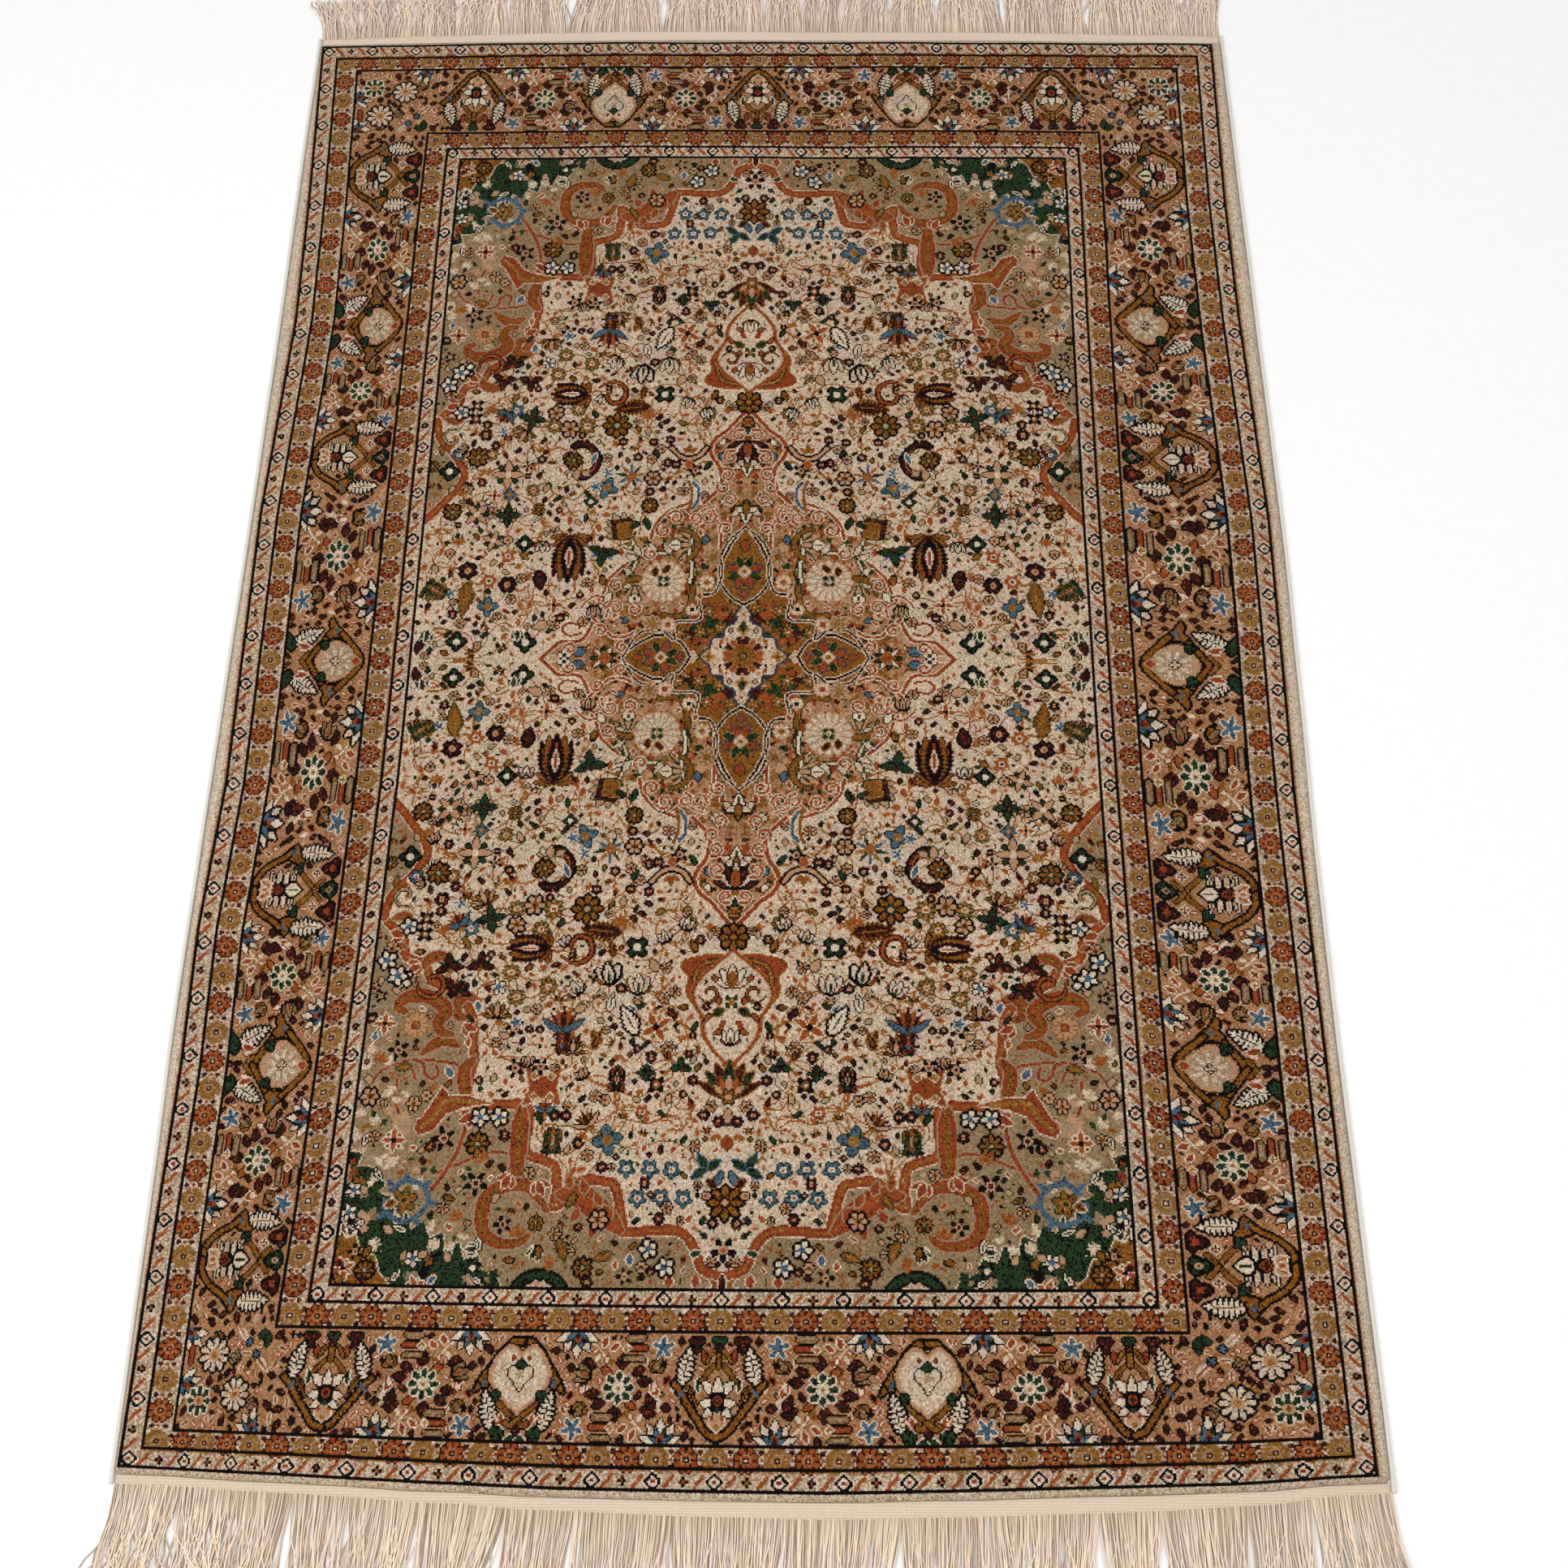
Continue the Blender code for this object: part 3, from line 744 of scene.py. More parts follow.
fieldMotifs = {
    "rustBud": ((179, 92, 11, -90), (148, 140, 13, -100), (178, 172, 13, -110), (208, 182, 13, -80),
        (262, 52, 11, -90), (242, 462, 10, -60), (274, 452, 10, -90)),
    "maroonBud": ((181, 156, 12, -60), (92, 230, 11, -60), (240, 268, 10, -40), (345, 114, 12, -80),
        (262, 382, 11, 120), (36, 513, 12, -70), (330, 292, 10, -30), (296, 266, 11, -120)),
    "peachBud": ((236, 223, 12, -60), (368, 119, 10, -120), (246, 421, 10, -90)),
    "ochreBud": ((168, 104, 12, -100), (39, 348, 12, -70), (216, 264, 11, -60)),
    "blueBud": ((269, 399, 12, 100),),
    "greenBud": ((190, 320, 10, -120),),
    "greenLeaf": ((190, 181, 10, -80), (222, 206, 11, -40), (194, 213, 10, -120), (40, 433, 12, -110),
        (120, 176, 16, -110), (126, 170, 14, -30), (44, 250, 14, -60), (113, 266, 13, -120),
        (296, 32, 11, -30), (340, 36, 10, -60), (190, 528, 13, -60), (272, 424, 10, -60), (84, 444, 10, 30),
        (64, 520, 10, -30)),
    "peachLeaf": ((228, 44, 18, -20), (205, 240, 14, -90), (80, 368, 15, -60), (165, 412, 14, -150),
        (121, 296, 11, -90), (199, 238, 12, -150), (63, 240, 11, -90), (352, 220, 10, -60),
        (232, 440, 11, -20), (60, 498, 10, 70)),
    "blueLeaf": ((183, 262, 15, -70), (100, 412, 11, -40)),
    "darkLeaf": ((243, 108, 22, -110), (59, 420, 14, -70), (374, 26, 18, -90), (276, 176, 10, 30),
        (106, 314, 10, -60), (328, 196, 10, 40)),
    "rustLeaf": ((248, 72, 12, -60), (263, 70, 12, -110), (357, 140, 11, -60), (362, 164, 11, -30),
        (378, 158, 11, -90)),
    "whiteLeaf": ((129, 412, 20, -100), (98, 436, 34, -60), (244, 178, 12, -20), (334, 252, 12, -80)),
    "ochreLeaf": ((324, 96, 44, -84), (283, 344, 16, -60), (76, 300, 12, 30), (266, 132, 14, -140)),
    "brownLeaf": ((120, 326, 46, -6), (128, 354, 20, -80), (136, 448, 20, -60), (143, 452, 20, -110),
        (60, 462, 16, -40)),
    "maroonSix": ((278, 92, 9, 0), (326, 110, 10, 20), (319, 288, 8, 0)),
    "rustSix": ((300, 97, 10, 0), (280, 128, 9, 20), (88, 516, 8, 0)),
    "peachSix": ((217, 295, 11, 0), (235, 317, 9, 20), (113, 228, 9, 0), (302, 184, 8, 0), (366, 344, 8, 0)),
    "tanFlower": ((196, 299, 11, 0), (236, 299, 9, 0), (208, 322, 9, 0), (195, 385, 9, 0), (228, 397, 9, 0),
        (236, 370, 9, 0), (48, 316, 9, 0), (310, 262, 8, 0), (256, 214, 8, 0)),
    "greenFour": ((103, 342, 11, 45), (332, 22, 10, 0), (252, 20, 11, 0), (262, 144, 9, 0),
        (186, 198, 8, 0)),
    "blueFour": ((299, 65, 12, 0), (168, 216, 14, 20), (122, 544, 15, 10), (284, 208, 8, 0)),
    "blackFour": ((75, 488, 11, 45), (333, 310, 10, 45), (333, 328, 10, 45)),
    "blackStar": ((176, 448, 11, 0), (226, 430, 11, 0), (196, 470, 10, 20), (222, 472, 11, 0),
        (62, 238, 10, 0), (264, 246, 8, 0), (146, 374, 8, 0)),
    "whiteFlower": ((351, 319, 9, 0), (370, 357, 10, 0), (357, 374, 10, 30), (308, 204, 8, 0),
        (248, 386, 8, 0)),
    "ochreFlower": ((210, 253, 10, 20), (160, 299, 16, 0), (351, 186, 10, 0), (326, 258, 12, 0),
        (115, 192, 9, 0), (248, 188, 8, 0)),
    "blueFlower": ((284, 321, 9, 0), (350, 262, 8, 0)),
    "cross": ((321, 183, 17, 45), (288, 235, 20, 0), (299, 148, 14, 20)),
    "greenCross": ((284, 181, 16, 0), (263, 310, 17, 10), (86, 476, 10, 0)),
    "rustCross": ((78, 428, 18, 30), (222, 66, 12, 0), (302, 207, 10, 0)),
    "tulip": ((53, 322, 14, -110), (72, 336, 14, -70), (99, 392, 22, -90), (130, 382, 24, -80),
        (162, 394, 18, -60), (240, 146, 15, -90), (178, 340, 12, -60)),
    "peachTulip": ((175, 64, 14, -90), (333, 222, 13, -60), (340, 268, 11, 20), (210, 470, 12, -90),
        (150, 482, 12, -60)),
    "greenTulip": ((366, 37, 15, -80), (342, 160, 14, -90), (262, 36, 14, -90), (352, 292, 10, -120)),
    "trefoil": ((168, 132, 19, -80), (50, 470, 12, -90)),
    "darkTrefoil": ((269, 362, 16, -90), (302, 364, 16, -80), (294, 384, 15, 80)),
    "wings": ((142, 530, 15, -60),),
    "blueWings": ((176, 432, 22, -90), (296, 318, 15, -60), (188, 516, 11, -90)),
    "curl": ((167, 342, 20, 60), (319, 382, 18, 10)),
    "greenCurl": ((359, 285, 13, 100),),
    "spark": ((168, 236, 7, 0), (182, 218, 7, 0), (298, 292, 7, 0), (344, 82, 7, 0), (226, 424, 7, 0)),
    "sprig": ((74, 402, 22, -90), (154, 590, 22, -80), (166, 586, 20, -50), (208, 148, 14, -40),
        (252, 252, 15, -60), (300, 340, 14, -40), (60, 288, 14, -120), (114, 514, 14, -80),
        (316, 236, 12, -30), (46, 534, 13, 0)),
    "greenSprig": ((182, 122, 13, -30), (234, 166, 13, -120), (200, 278, 13, 150), (148, 402, 13, -120),
        (262, 276, 12, -100), (82, 528, 13, -40), (346, 244, 12, 100)),
    "rustSpray": ((123, 318, 16, -90), (340, 152, 13, -90), (340, 214, 12, -60), (312, 326, 12, -60),
        (252, 100, 11, 30)),
    "ochreSpray": ((165, 448, 18, -90), (292, 288, 13, -90), (310, 8, 13, 0), (182, 402, 12, -90)),
    "lotus": ((247, 418, 17, -90), (270, 293, 18, -60), (164, 456, 15, -90), (370, 86, 15, -120)),
    "darkPalmette": ((208, 152, 60, -90), (198, 343, 46, 0)),
    "rustPalmette": ((116, 493, 25, -90),),
    "ochrePalmette": ((178, 556, 26, -90), (372, 92, 28, -150)),
    "bluePalmette": ((176, 452, 18, -90),),
}


def centreStar(chart):
    star = [(-1, -1), (45, -1), (45, 2), (36, 9), (33, 20), (20, 22), (19, 34), (9, 38), (4, 46), (6, 52),
        (-1, 62)]
    area(chart, star, "ivory", ("ivory", "slate", "slate"))
    bloom(chart, 0, 0, 24, 11, 16, "rust", deep=0.06)
    view, along, aside = around(chart, 0, 0, 25)
    turn = np.degrees(np.arctan2(aside, along)) / 22.5
    radius = np.hypot(along, aside)
    ring = (radius > 14.5) & (radius < 24)
    view[ring & (np.round(turn + 0.5) % 2 == 0)] = yarnNumber["maroon"]
    view[ring & (np.abs(turn + 0.5 - np.round(turn + 0.5)) > 0.4)] = yarnNumber["peach"]
    bloom(chart, 0, 0, 14.5, 0, 8, "ochre", None, "green", "ivory", deep=0.04)
    bloom(chart, 0, 0, 3, 0, 4, "gold", deep=0.1)
    for x, y in ((39, 0), (0, 33)):
        bloom(chart, x, y, 7, 0, 4, "gold", "peach", "ochre", "green", deep=0.2)
    leaf(chart, 0, 30, 12, 90, 0.6, "green", "ochre")
    bloom(chart, 0, 51, 6, 0, 4, "ivory", "peach", "ochre", deep=0.2)
    bloom(chart, 60, 0, 7, 0, 6, "peach", "ivory", "ochre")


def teardrop(chart, x, y, turn, length, halfWidth):
    # a pointed ochre lobe with green stems, an ivory flower and red and blue buds
    def at(along, aside):
        return toward(*toward(x, y, turn, along), turn + 90, aside)

    shares = ((0, 0), (0.1, 0.55), (0.28, 0.96), (0.5, 0.94), (0.75, 0.55), (1, 0))
    rim = [at(length * a, halfWidth * b) for a, b in shares]
    rim += [at(length * a, -halfWidth * b) for a, b in shares[-2:0:-1]]
    area(chart, rim, "ochre", ("ivory", "black", "black", "ivory"))
    centre = at(length * 0.4, 0)
    bloom(chart, *centre, halfWidth * 0.7, turn, 8, "green", "gold", "peach", deep=0.2)
    for step in range(8):
        lean = turn + 22.5 + 45 * step
        leaf(chart, *toward(*centre, lean, 6), halfWidth * 0.62, lean, 0.5, ("brick", "green")[step % 2],
             ("slate", "gold")[step % 2])
    bloom(chart, *centre, 7, 0, 4, "ivory", "peach", "ochre", deep=0.15)
    leaf(chart, *at(length * 0.68, 0), length * 0.16, turn, 0.7, "brick", "green")
    bloom(chart, *at(length * 0.11, 0), 4.5, 0, 4, "brick", "slate", deep=0.1)


zoneLine = ((140, -3), (128, 20), (118, 31), (105, 34), (92, 32), (80, 22), (80, 42), (57, 44), (49, 50),
    (52, 74), (36, 78), (30, 88), (26, 106), (28, 124), (20, 144), (6, 158))


def medallion(chart):
    salmon = [(-3, -3), (186, -3), (184, 26), (175, 47), (167, 74), (159, 97), (150, 108), (140, 117),
        (131, 124), (132, 136), (138, 152), (126, 153), (118, 147), (111, 150), (106, 167), (95, 181),
        (84, 188), (72, 192), (59, 186), (48, 197), (36, 211), (31, 224), (33, 242), (41, 254), (45, 266),
        (40, 280), (26, 292), (14, 306), (4, 318), (-3, 321)]
    area(chart, salmon, "salmon", ("ivory",))
    area(chart, [(180, -3), (180, 20), (205, 23), (218, 16), (234, 1), (234, -3)], "salmon", ("ivory",))
    flecks = ("tan", "brick", "ochre", "rust", "maroon", "green", "ochre", "peach")
    dapple(chart, salmon, flecks, 1200, 10, 6)
    for line, width in (
        (((234, -1), (222, 11), (211, 20), (196, 20), (184, 25), (174, 46)), 4),
        (((188, 30), (203, 28), (210, 36), (204, 43), (192, 41), (190, 36)), 3),
        (((170, 70), (165, 80), (159, 97), (150, 108), (138, 118)), 3.4),
        (((128, 30), (139, 25), (153, 27), (164, 38), (174, 48)), 3),
        (((112, 149), (107, 167), (96, 181), (84, 188), (70, 194)), 4),
        (((31, 122), (29, 140), (30, 160), (38, 182), (47, 196)), 2.4),
        (((50, 195), (42, 204), (33, 214), (30, 225), (33, 242), (41, 254), (45, 266), (40, 280), (26, 292),
          (14, 306), (3, 319), (-1, 321)), 4.8),
        (((38, 190), (52, 184), (62, 178), (72, 186)), 2),
        (((190, 62), (180, 74), (168, 76), (158, 66), (160, 50)), 2.4),
    ):
        stroke(chart, line, "brick", width, "white")
    zone = [(-3, -3), *zoneLine, (-3, 164)]
    area(chart, zone, "ochre", smooth=True)
    dapple(chart, zone, ("green", "brick", "tan", "maroon", "green", "rust", "maroon", "ochre"), 520, 14, 4)
    for x, y in ((26, 36), (74, 30), (40, 56), (104, 20), (12, 60), (16, 112), (92, 8), (120, 8), (14, 140),
            (50, 30)):
        bloom(chart, x, y, 7, 20, 6, "gold", "green", "brick", "ivory", deep=0.15)
    centreStar(chart)
    teardrop(chart, 0, 66, 90, 96, 27)
    teardrop(chart, 64, 0, 0, 76, 26)


def roseDisc(chart):
    # the pale sixteen-petalled disc on the diagonal, in its bracket and cups
    stroke(chart, ((94, 52), (78, 50), (68, 56), (62, 70), (60, 88)), "ochre", 5, "green")
    stroke(chart, ((60, 88), (56, 104), (60, 122), (58, 144), (54, 160)), "green", 2)
    stroke(chart, ((64, 92), (62, 112), (66, 132), (60, 158)), "white", 3, "green")
    for line in (((131, 86), (133, 104), (128, 122), (134, 148)), ((88, 129), (106, 130), (124, 128),
            (148, 138))):
        stroke(chart, line, "ivory", 3, "green")
        for x, y in line[:3]:
            leaf(chart, x, y, 15, 30 if x > y else 60, 0.5, "ivory", "green", teeth=0.3)
    for x, y, turn in ((128, 78, -90), (76, 140, 0)):
        bracket = [toward(x, y, turn + 180 + lean, 20) for lean in range(-96, 97, 24)]
        stroke(chart, bracket, "ochre", 6, "green", tapered=True)
        fan(chart, *toward(x, y, turn + 180, 12), 22, turn, 7, 100, ("green", "peach"), width=0.24)
        leaf(chart, x, y, 15, turn, 0.9, "white", "green", "green")
    bloom(chart, 95, 94, 26, 0, 16, "ivory", "peach", deep=0.05)
    view, along, aside = around(chart, 95, 94, 26)
    radius, wave = np.hypot(along, aside), np.cos(16 * np.arctan2(aside, along))
    view[(radius < 24) & (radius > 9) & (wave < -0.8)] = yarnNumber["beige"]
    bloom(chart, 95, 94, 8, 45, 4, "green", "beige", "ivory", "gold", deep=0.15)
    for turn in (60, 110):
        leaf(chart, *toward(95, 94, turn, 20), 11, turn - 150, 0.6, "maroon", "ochre")


def medallionFlowers(chart):
    stroke(chart, zoneLine, "black", 2.2, "ivory")
    # a blunt flower where the frame meets the field
    fan(chart, 146, 160, 25, 62, 7, 170, ("peach", "peach"), "green", width=0.42)
    area(chart, ((132, 150), (156, 148), (160, 172), (138, 176)), "maroon", ("green",))
    area(chart, ((134, 152), (150, 150), (152, 168), (136, 170)), "ochre", ("gold",))
    fan(chart, 139, 231, 21, 10, 9, 320, ("blue", "green", "gold"), "ivory", width=0.22)
    bloom(chart, 139, 231, 5, 0, 4, "gold", "rust", deep=0.1)
    stroke(chart, ((206, 232), (192, 232), (183, 242), (181, 256), (188, 268), (200, 275), (211, 272)),
           "maroon", 5, "black")
    stroke(chart, ((190, 236), (184, 244), (184, 256), (190, 266)), "rust")
    fan(chart, 210, 238, 12, -60, 3, 100, ("peach", "ivory"), "black", width=0.5)
    stroke(chart, ((50, 269), (58, 258), (70, 254), (82, 258), (92, 269)), "peach", 4, "black")
    leaf(chart, 70, 252, 13, -90, 0.7, "rust", "peach")
    fan(chart, 70, 262, 13, 90, 3, 110, ("rust", "ochre"), width=0.5)
    for x, y, size, petal, eye in ((44, 92, 9, "ivory", "ochre"), (38, 124, 11, "tan", "ochre"),
            (88, 40, 9, "ivory", "brick"), (106, 42, 10, "tan", "gold"), (60, 58, 7, "white", "black"),
            (150, 52, 6, "ivory", "brick")):
        bloom(chart, x, y, size, 0, 8, petal, "peach", eye, deep=0.12)
    for x, y, size, turn, yarn in ((46, 152, 13, -80, "blue"), (134, 45, 11, 10, "blue"),
            (156, 80, 14, -60, "white"), (92, 178, 14, 130, "white")):
        leaf(chart, x, y, size, turn, 0.55, yarn, "black")
    repeat(chart, leaf, (
        (68, 64, 8, 30), (90, 60, 7, 0), (50, 72, 8, 60), (50, 176, 11, -60), (54, 160, 9, -100),
        (120, 112, 8, 80), (76, 118, 8, 120), (142, 94, 7, 40), (20, 178, 10, -110), (150, 40, 8, 150),
    ), 0.5, "brick", "ivory")
    repeat(chart, leaf, ((56, 58, 8, 120), (140, 104, 7, 60), (116, 60, 7, 160), (84, 160, 9, 60),
                         (70, 178, 9, 20)), 0.5, "green")
    for y in (164, 226):
        fan(chart, 0, y + 26, 24, -90, 3, 110, ("ivory", "white"), "black", width=0.5)
        fan(chart, 0, y + 20, 16, 90, 3, 150, ("ivory", "white"), "black", width=0.5)
        leaf(chart, 0, y + 14, 20, 90, 0.36, "ochre", "green")
        leaf(chart, 0, y + 6, 12, 90, 0.3, "green")
    bloom(chart, 25, 196, 6, 0, 4, "ivory", "green", deep=0.15)
    stroke(chart, ((64, 188), (58, 198), (58, 214), (64, 222)), "blue", 4, "white")
    stroke(chart, ((68, 186), (66, 198), (66, 212), (70, 224)), "ochre", 4)
    # the side pendant
    fan(chart, 159, 0, 18, 0, 9, 320, ("green", "white"), "black", width=0.26)
    bloom(chart, 159, 0, 7, 0, 6, "brick", "gold", deep=0.1)
    leaf(chart, 182, 8, 16, 0, 0.7, "blue", "black")
    bloom(chart, 206, 4, 7, 0, 4, "white", "black", "green", deep=0.2)
    leaf(chart, 212, 0, 14, 0, 0.5, "peach", "white")
    # the round pendant
    fan(chart, 0, 276, 30, -90, 7, 150, ("maroon", "ivory"), "black", width=0.28)
    leaf(chart, 0, 274, 20, -90, 0.4, "brick", "ochre")
    leaf(chart, 28, 262, 12, -60, 0.6, "blue", "black")
    leaf(chart, 32, 272, 10, 120, 0.6, "white", "black")
    fan(chart, 0, 300, 14, -90, 3, 130, ("green", "green"), "white", width=0.6)
    bloom(chart, 0, 303, 7, 0, 6, "gold", "black", "brick")


def axisPendants(chart):
    # what hangs below the medallion on the middle line, from the star down to the near scroll
    bloom(chart, 0, 331, 15, 0, 8, "ochre", "black", "maroon", "gold", deep=0.12)
    wing = [(4, 352), (20, 350), (36, 352), (54, 358), (52, 368), (46, 376), (48, 388), (42, 402), (28, 411),
        (22, 400), (24, 384), (14, 368)]
    area(chart, wing, "brick", ("gold", "white"), smooth=True)
    stroke(chart, ((16, 356), (34, 362), (40, 378), (36, 396)), "gold", 3, "maroon")
    spade = [(-3, 346), (6, 354), (18, 364), (32, 378), (38, 391), (34, 406), (27, 417), (24, 436),
        (14, 452), (4, 462), (-3, 464)]
    area(chart, spade, "ivory", ("peach", "brick", "brick", "gold"), smooth=True)
    fan(chart, 0, 384, 24, -90, 5, 140, ("ivory", "white"), "black", width=0.4)
    leaf(chart, 0, 386, 18, -90, 0.5, "ochre", "brick")
    curl(chart, 24, 392, 11, 40, "maroon", "ochre")
    bloom(chart, 0, 401, 9, 45, 4, "green", "white", "gold", deep=0.2)
    leaf(chart, 8, 408, 15, 35, 0.5, "green", "ochre")
    leaf(chart, 6, 420, 14, 60, 0.5, "brick", "white")
    tulip(chart, 0, 446, 17, -90, "white", "black", "ochre", "brick")
    for x, y, turn in ((16, 380, -60), (22, 414, 60), (10, 432, 20), (14, 404, -100)):
        leaf(chart, x, y, 9, turn, 0.5, "rust", "black")
    fan(chart, 0, 500, 40, -90, 7, 130, ("maroon", "green"), "ochre", width=0.3)
    fan(chart, 0, 498, 22, -90, 5, 120, ("peach", "rust"), None, width=0.34)
    bloom(chart, 0, 500, 8, 0, 6, "ochre", "black", "peach")
    bud(chart, 0, 530, 16, -90, "peach", "green", "maroon")
    leaf(chart, 0, 554, 16, -90, 0.7, "brick", "ochre")
    for turn in (-150, -60, 30):
        leaf(chart, 20, 572, 17, turn, 0.45, "green", "blue")
    leaf(chart, 4, 574, 18, 65, 0.4, "blue", "green")
    for x, y in ((55, 573), (77, 572), (101, 572), (42, 601), (65, 600), (88, 601)):
        bloom(chart, x, y, 8.5, 90, 5, "blue", "green", "white", "rust", deep=0.2)
    bloom(chart, 0, 605, 17, 0, 8, "ochre", "black", "maroon", "peach", deep=0.2)
    leaf(chart, 10, 590, 13, -40, 0.5, "maroon", "ochre")


def spandrel(chart):
    # the taupe corner: brick bands with gold hearts and pale edges, a jagged green patch in the very corner
    edge = [(392, 292), (385, 300), (372, 316), (356, 330), (350, 352), (330, 362), (318, 380), (290, 392),
        (272, 420), (268, 450), (266, 463), (266, 507), (210, 509), (204, 530), (203, 557), (181, 566),
        (172, 574), (170, 596), (171, 610), (160, 602), (143, 584), (118, 586), (110, 592), (101, 626),
        (99, 634), (47, 632), (28, 650), (20, 668), (-2, 677)]
    area(chart, [*edge, (-2, 700), (400, 700), (400, 292)], "taupe")
    side = [(392, 168), (379, 179), (357, 205), (341, 231), (351, 256), (373, 282), (380, 308)]
    area(chart, [*side, (400, 308), (400, 168)], "taupe")
    for line in (edge, side):
        stroke(chart, line, "brick", 10, "ivory", "rust")
        for x, y in smoothLine(line)[4::5]:
            bloom(chart, x, y, 2.4, 0, 4, "gold", deep=0.05)
    for line, width, heart in (
        (((220, 558), (243, 558), (274, 570), (293, 578)), 3, None),
        (((266, 513), (268, 531), (274, 557), (289, 585), (300, 600)), 4, None),
        (((274, 475), (289, 467), (329, 464), (352, 470)), 3, None),
        (((329, 464), (319, 468), (316, 478), (308, 483), (302, 478), (305, 470)), 3.5, None),
        (((334, 525), (341, 513), (345, 500), (344, 484)), 3.5, None),
        (((325, 484), (331, 473), (346, 468), (361, 475), (367, 483)), 3, None),
        (((284, 449), (302, 444), (321, 457)), 9, "ochre"),
        (((266, 463), (275, 474), (273, 492), (266, 506)), 11, "ochre"),
        (((302, 360), (312, 352), (326, 356), (330, 366)), 9, "ochre"),
        (((268, 402), (280, 396), (290, 404), (288, 416), (278, 420)), 9, "ochre"),
        (((346, 318), (356, 308), (370, 310)), 8, "ochre"),
        (((352, 342), (366, 340), (372, 352), (364, 362)), 8, "ochre"),
        (((292, 437), (304, 434), (308, 424), (301, 412), (313, 400), (331, 395), (347, 399), (352, 408),
         (344, 413)), 12, "ochre"),
        (((212, 511), (212, 540), (212, 586)), 14, "ochre"),
        (((178, 614), (187, 602), (201, 590), (220, 590), (236, 598), (243, 614), (240, 634), (226, 645),
         (206, 646), (194, 638)), 11, "ochre"),
        (((166, 598), (146, 600), (124, 614), (104, 632)), 19, "rust"),
    ):
        stroke(chart, line, "brick", width * (1.3 if heart else 1), "beige", heart, tapered=bool(heart))
    for x, y, turn in ((156, 592, -80), (140, 597, -70), (124, 608, -60), (112, 620, -50), (146, 612, 60),
            (128, 626, 70)):
        leaf(chart, x, y, 15, turn, 0.55, "brick", "beige")
    area(chart, ((174, 471), (192, 482), (210, 471), (205, 490), (211, 509), (192, 500), (174, 509),
        (179, 490)), "brick", ("gold", "ivory"))
    for y in (480, 501):
        bloom(chart, 184, y, 4, 0, 4, "gold", "ivory", deep=0.2)
        bloom(chart, 201, y, 4, 0, 4, "gold", "ivory", deep=0.2)
    area(chart, ((244, 508), (268, 501), (289, 500), (296, 492), (304, 506), (313, 522), (323, 529),
        (316, 541), (301, 536), (289, 519), (274, 513)), "brick", ("ivory",))
    stroke(chart, ((256, 508), (290, 506), (300, 520), (313, 533)), "gold", 5)
    stroke(chart, ((272, 509), (290, 513), (302, 526)), "ochre", 2)
    bloom(chart, 331, 427, 13, 0, 12, "peach", "gold", "brick", "gold", deep=0.06)
    for x, y, turn in ((334, 362, 30), (280, 426, 150), (356, 330, -20), (218, 580, 60), (190, 586, 120),
            (262, 520, 30)):
        fan(chart, x, y, 16, turn, 3, 90, ("brick", "brick"), "ivory", width=0.5)
    # the green patch, with a blue coil round a flower on its rim
    green = [(392, 541), (380, 544), (384, 556), (370, 560), (374, 572), (356, 574), (360, 586), (344, 588),
        (346, 600), (330, 604), (332, 622), (318, 618), (312, 634), (300, 628), (292, 642), (280, 636),
        (276, 652), (262, 646), (256, 662), (242, 658), (236, 674), (222, 676), (214, 692), (400, 692)]
    dapple(chart, ((330, 470), (392, 440), (392, 580), (330, 600), (318, 560)),
        ("ivory", "peach", "ivory", "beige"), 60, 16, 1)
    area(chart, green, "green", ("ivory",))
    dapple(chart, [(392, 520), *green[1:-1:3], (200, 692), (392, 692)],
           ("green", "green", "ivory", "peach", "black", "taupe", "ochre", "brick"), 210, 14, 2)
    dapple(chart, ((290, 600), (330, 560), (350, 590), (300, 660), (230, 680)), ("ivory", "peach", "green"),
           24, 12, 3)
    stroke(chart, ((336, 596), (322, 586), (304, 592), (298, 606), (306, 620), (322, 626), (338, 618),
        (342, 606)), "blue", 5.5)
    for x, y, turn in ((322, 588, -90), (304, 592, -140), (298, 608, 180), (308, 622, 110), (338, 618, 30),
            (334, 592, -40)):
        leaf(chart, x, y, 11, turn, 0.5, "blue", teeth=0.3)
    bloom(chart, 322, 606, 13, 20, 6, "ochre", "green", "gold", "green", deep=0.22)
    leaf(chart, 330, 606, 13, 30, 0.6, "ochre", "ivory", "maroon")
    area(chart, ((400, 628), (384, 626), (366, 640), (360, 654), (344, 660), (338, 676), (322, 692),
        (400, 694)), "ochre", ("ivory",))
    # the green arch by the near guard
    stroke(chart, ((155, 696), (158, 684), (167, 678), (179, 675), (191, 678), (200, 684), (203, 696)),
           "green", 7, "black")
    bloom(chart, 179, 694, 13, 0, 10, "peach", "ivory", "brick", "maroon", deep=0.14)


medallionMotifs = {
    "scroll": ((150, 62, 9, 40), (128, 60, 8, 120), (44, 176, 9, 200), (24, 232, 9, 90), (84, 176, 9, 60),
        (200, 12, 7, 30), (24, 160, 8, 0), (166, 34, 7, 90), (20, 200, 8, 150)),
    "backScroll": ((168, 60, 8, 140), (112, 130, 8, 30), (60, 174, 8, 240), (20, 256, 9, 90),
        (98, 160, 9, 30), (150, 90, 8, 90), (28, 216, 8, 10), (140, 14, 7, 60), (10, 286, 8, 90)),
}

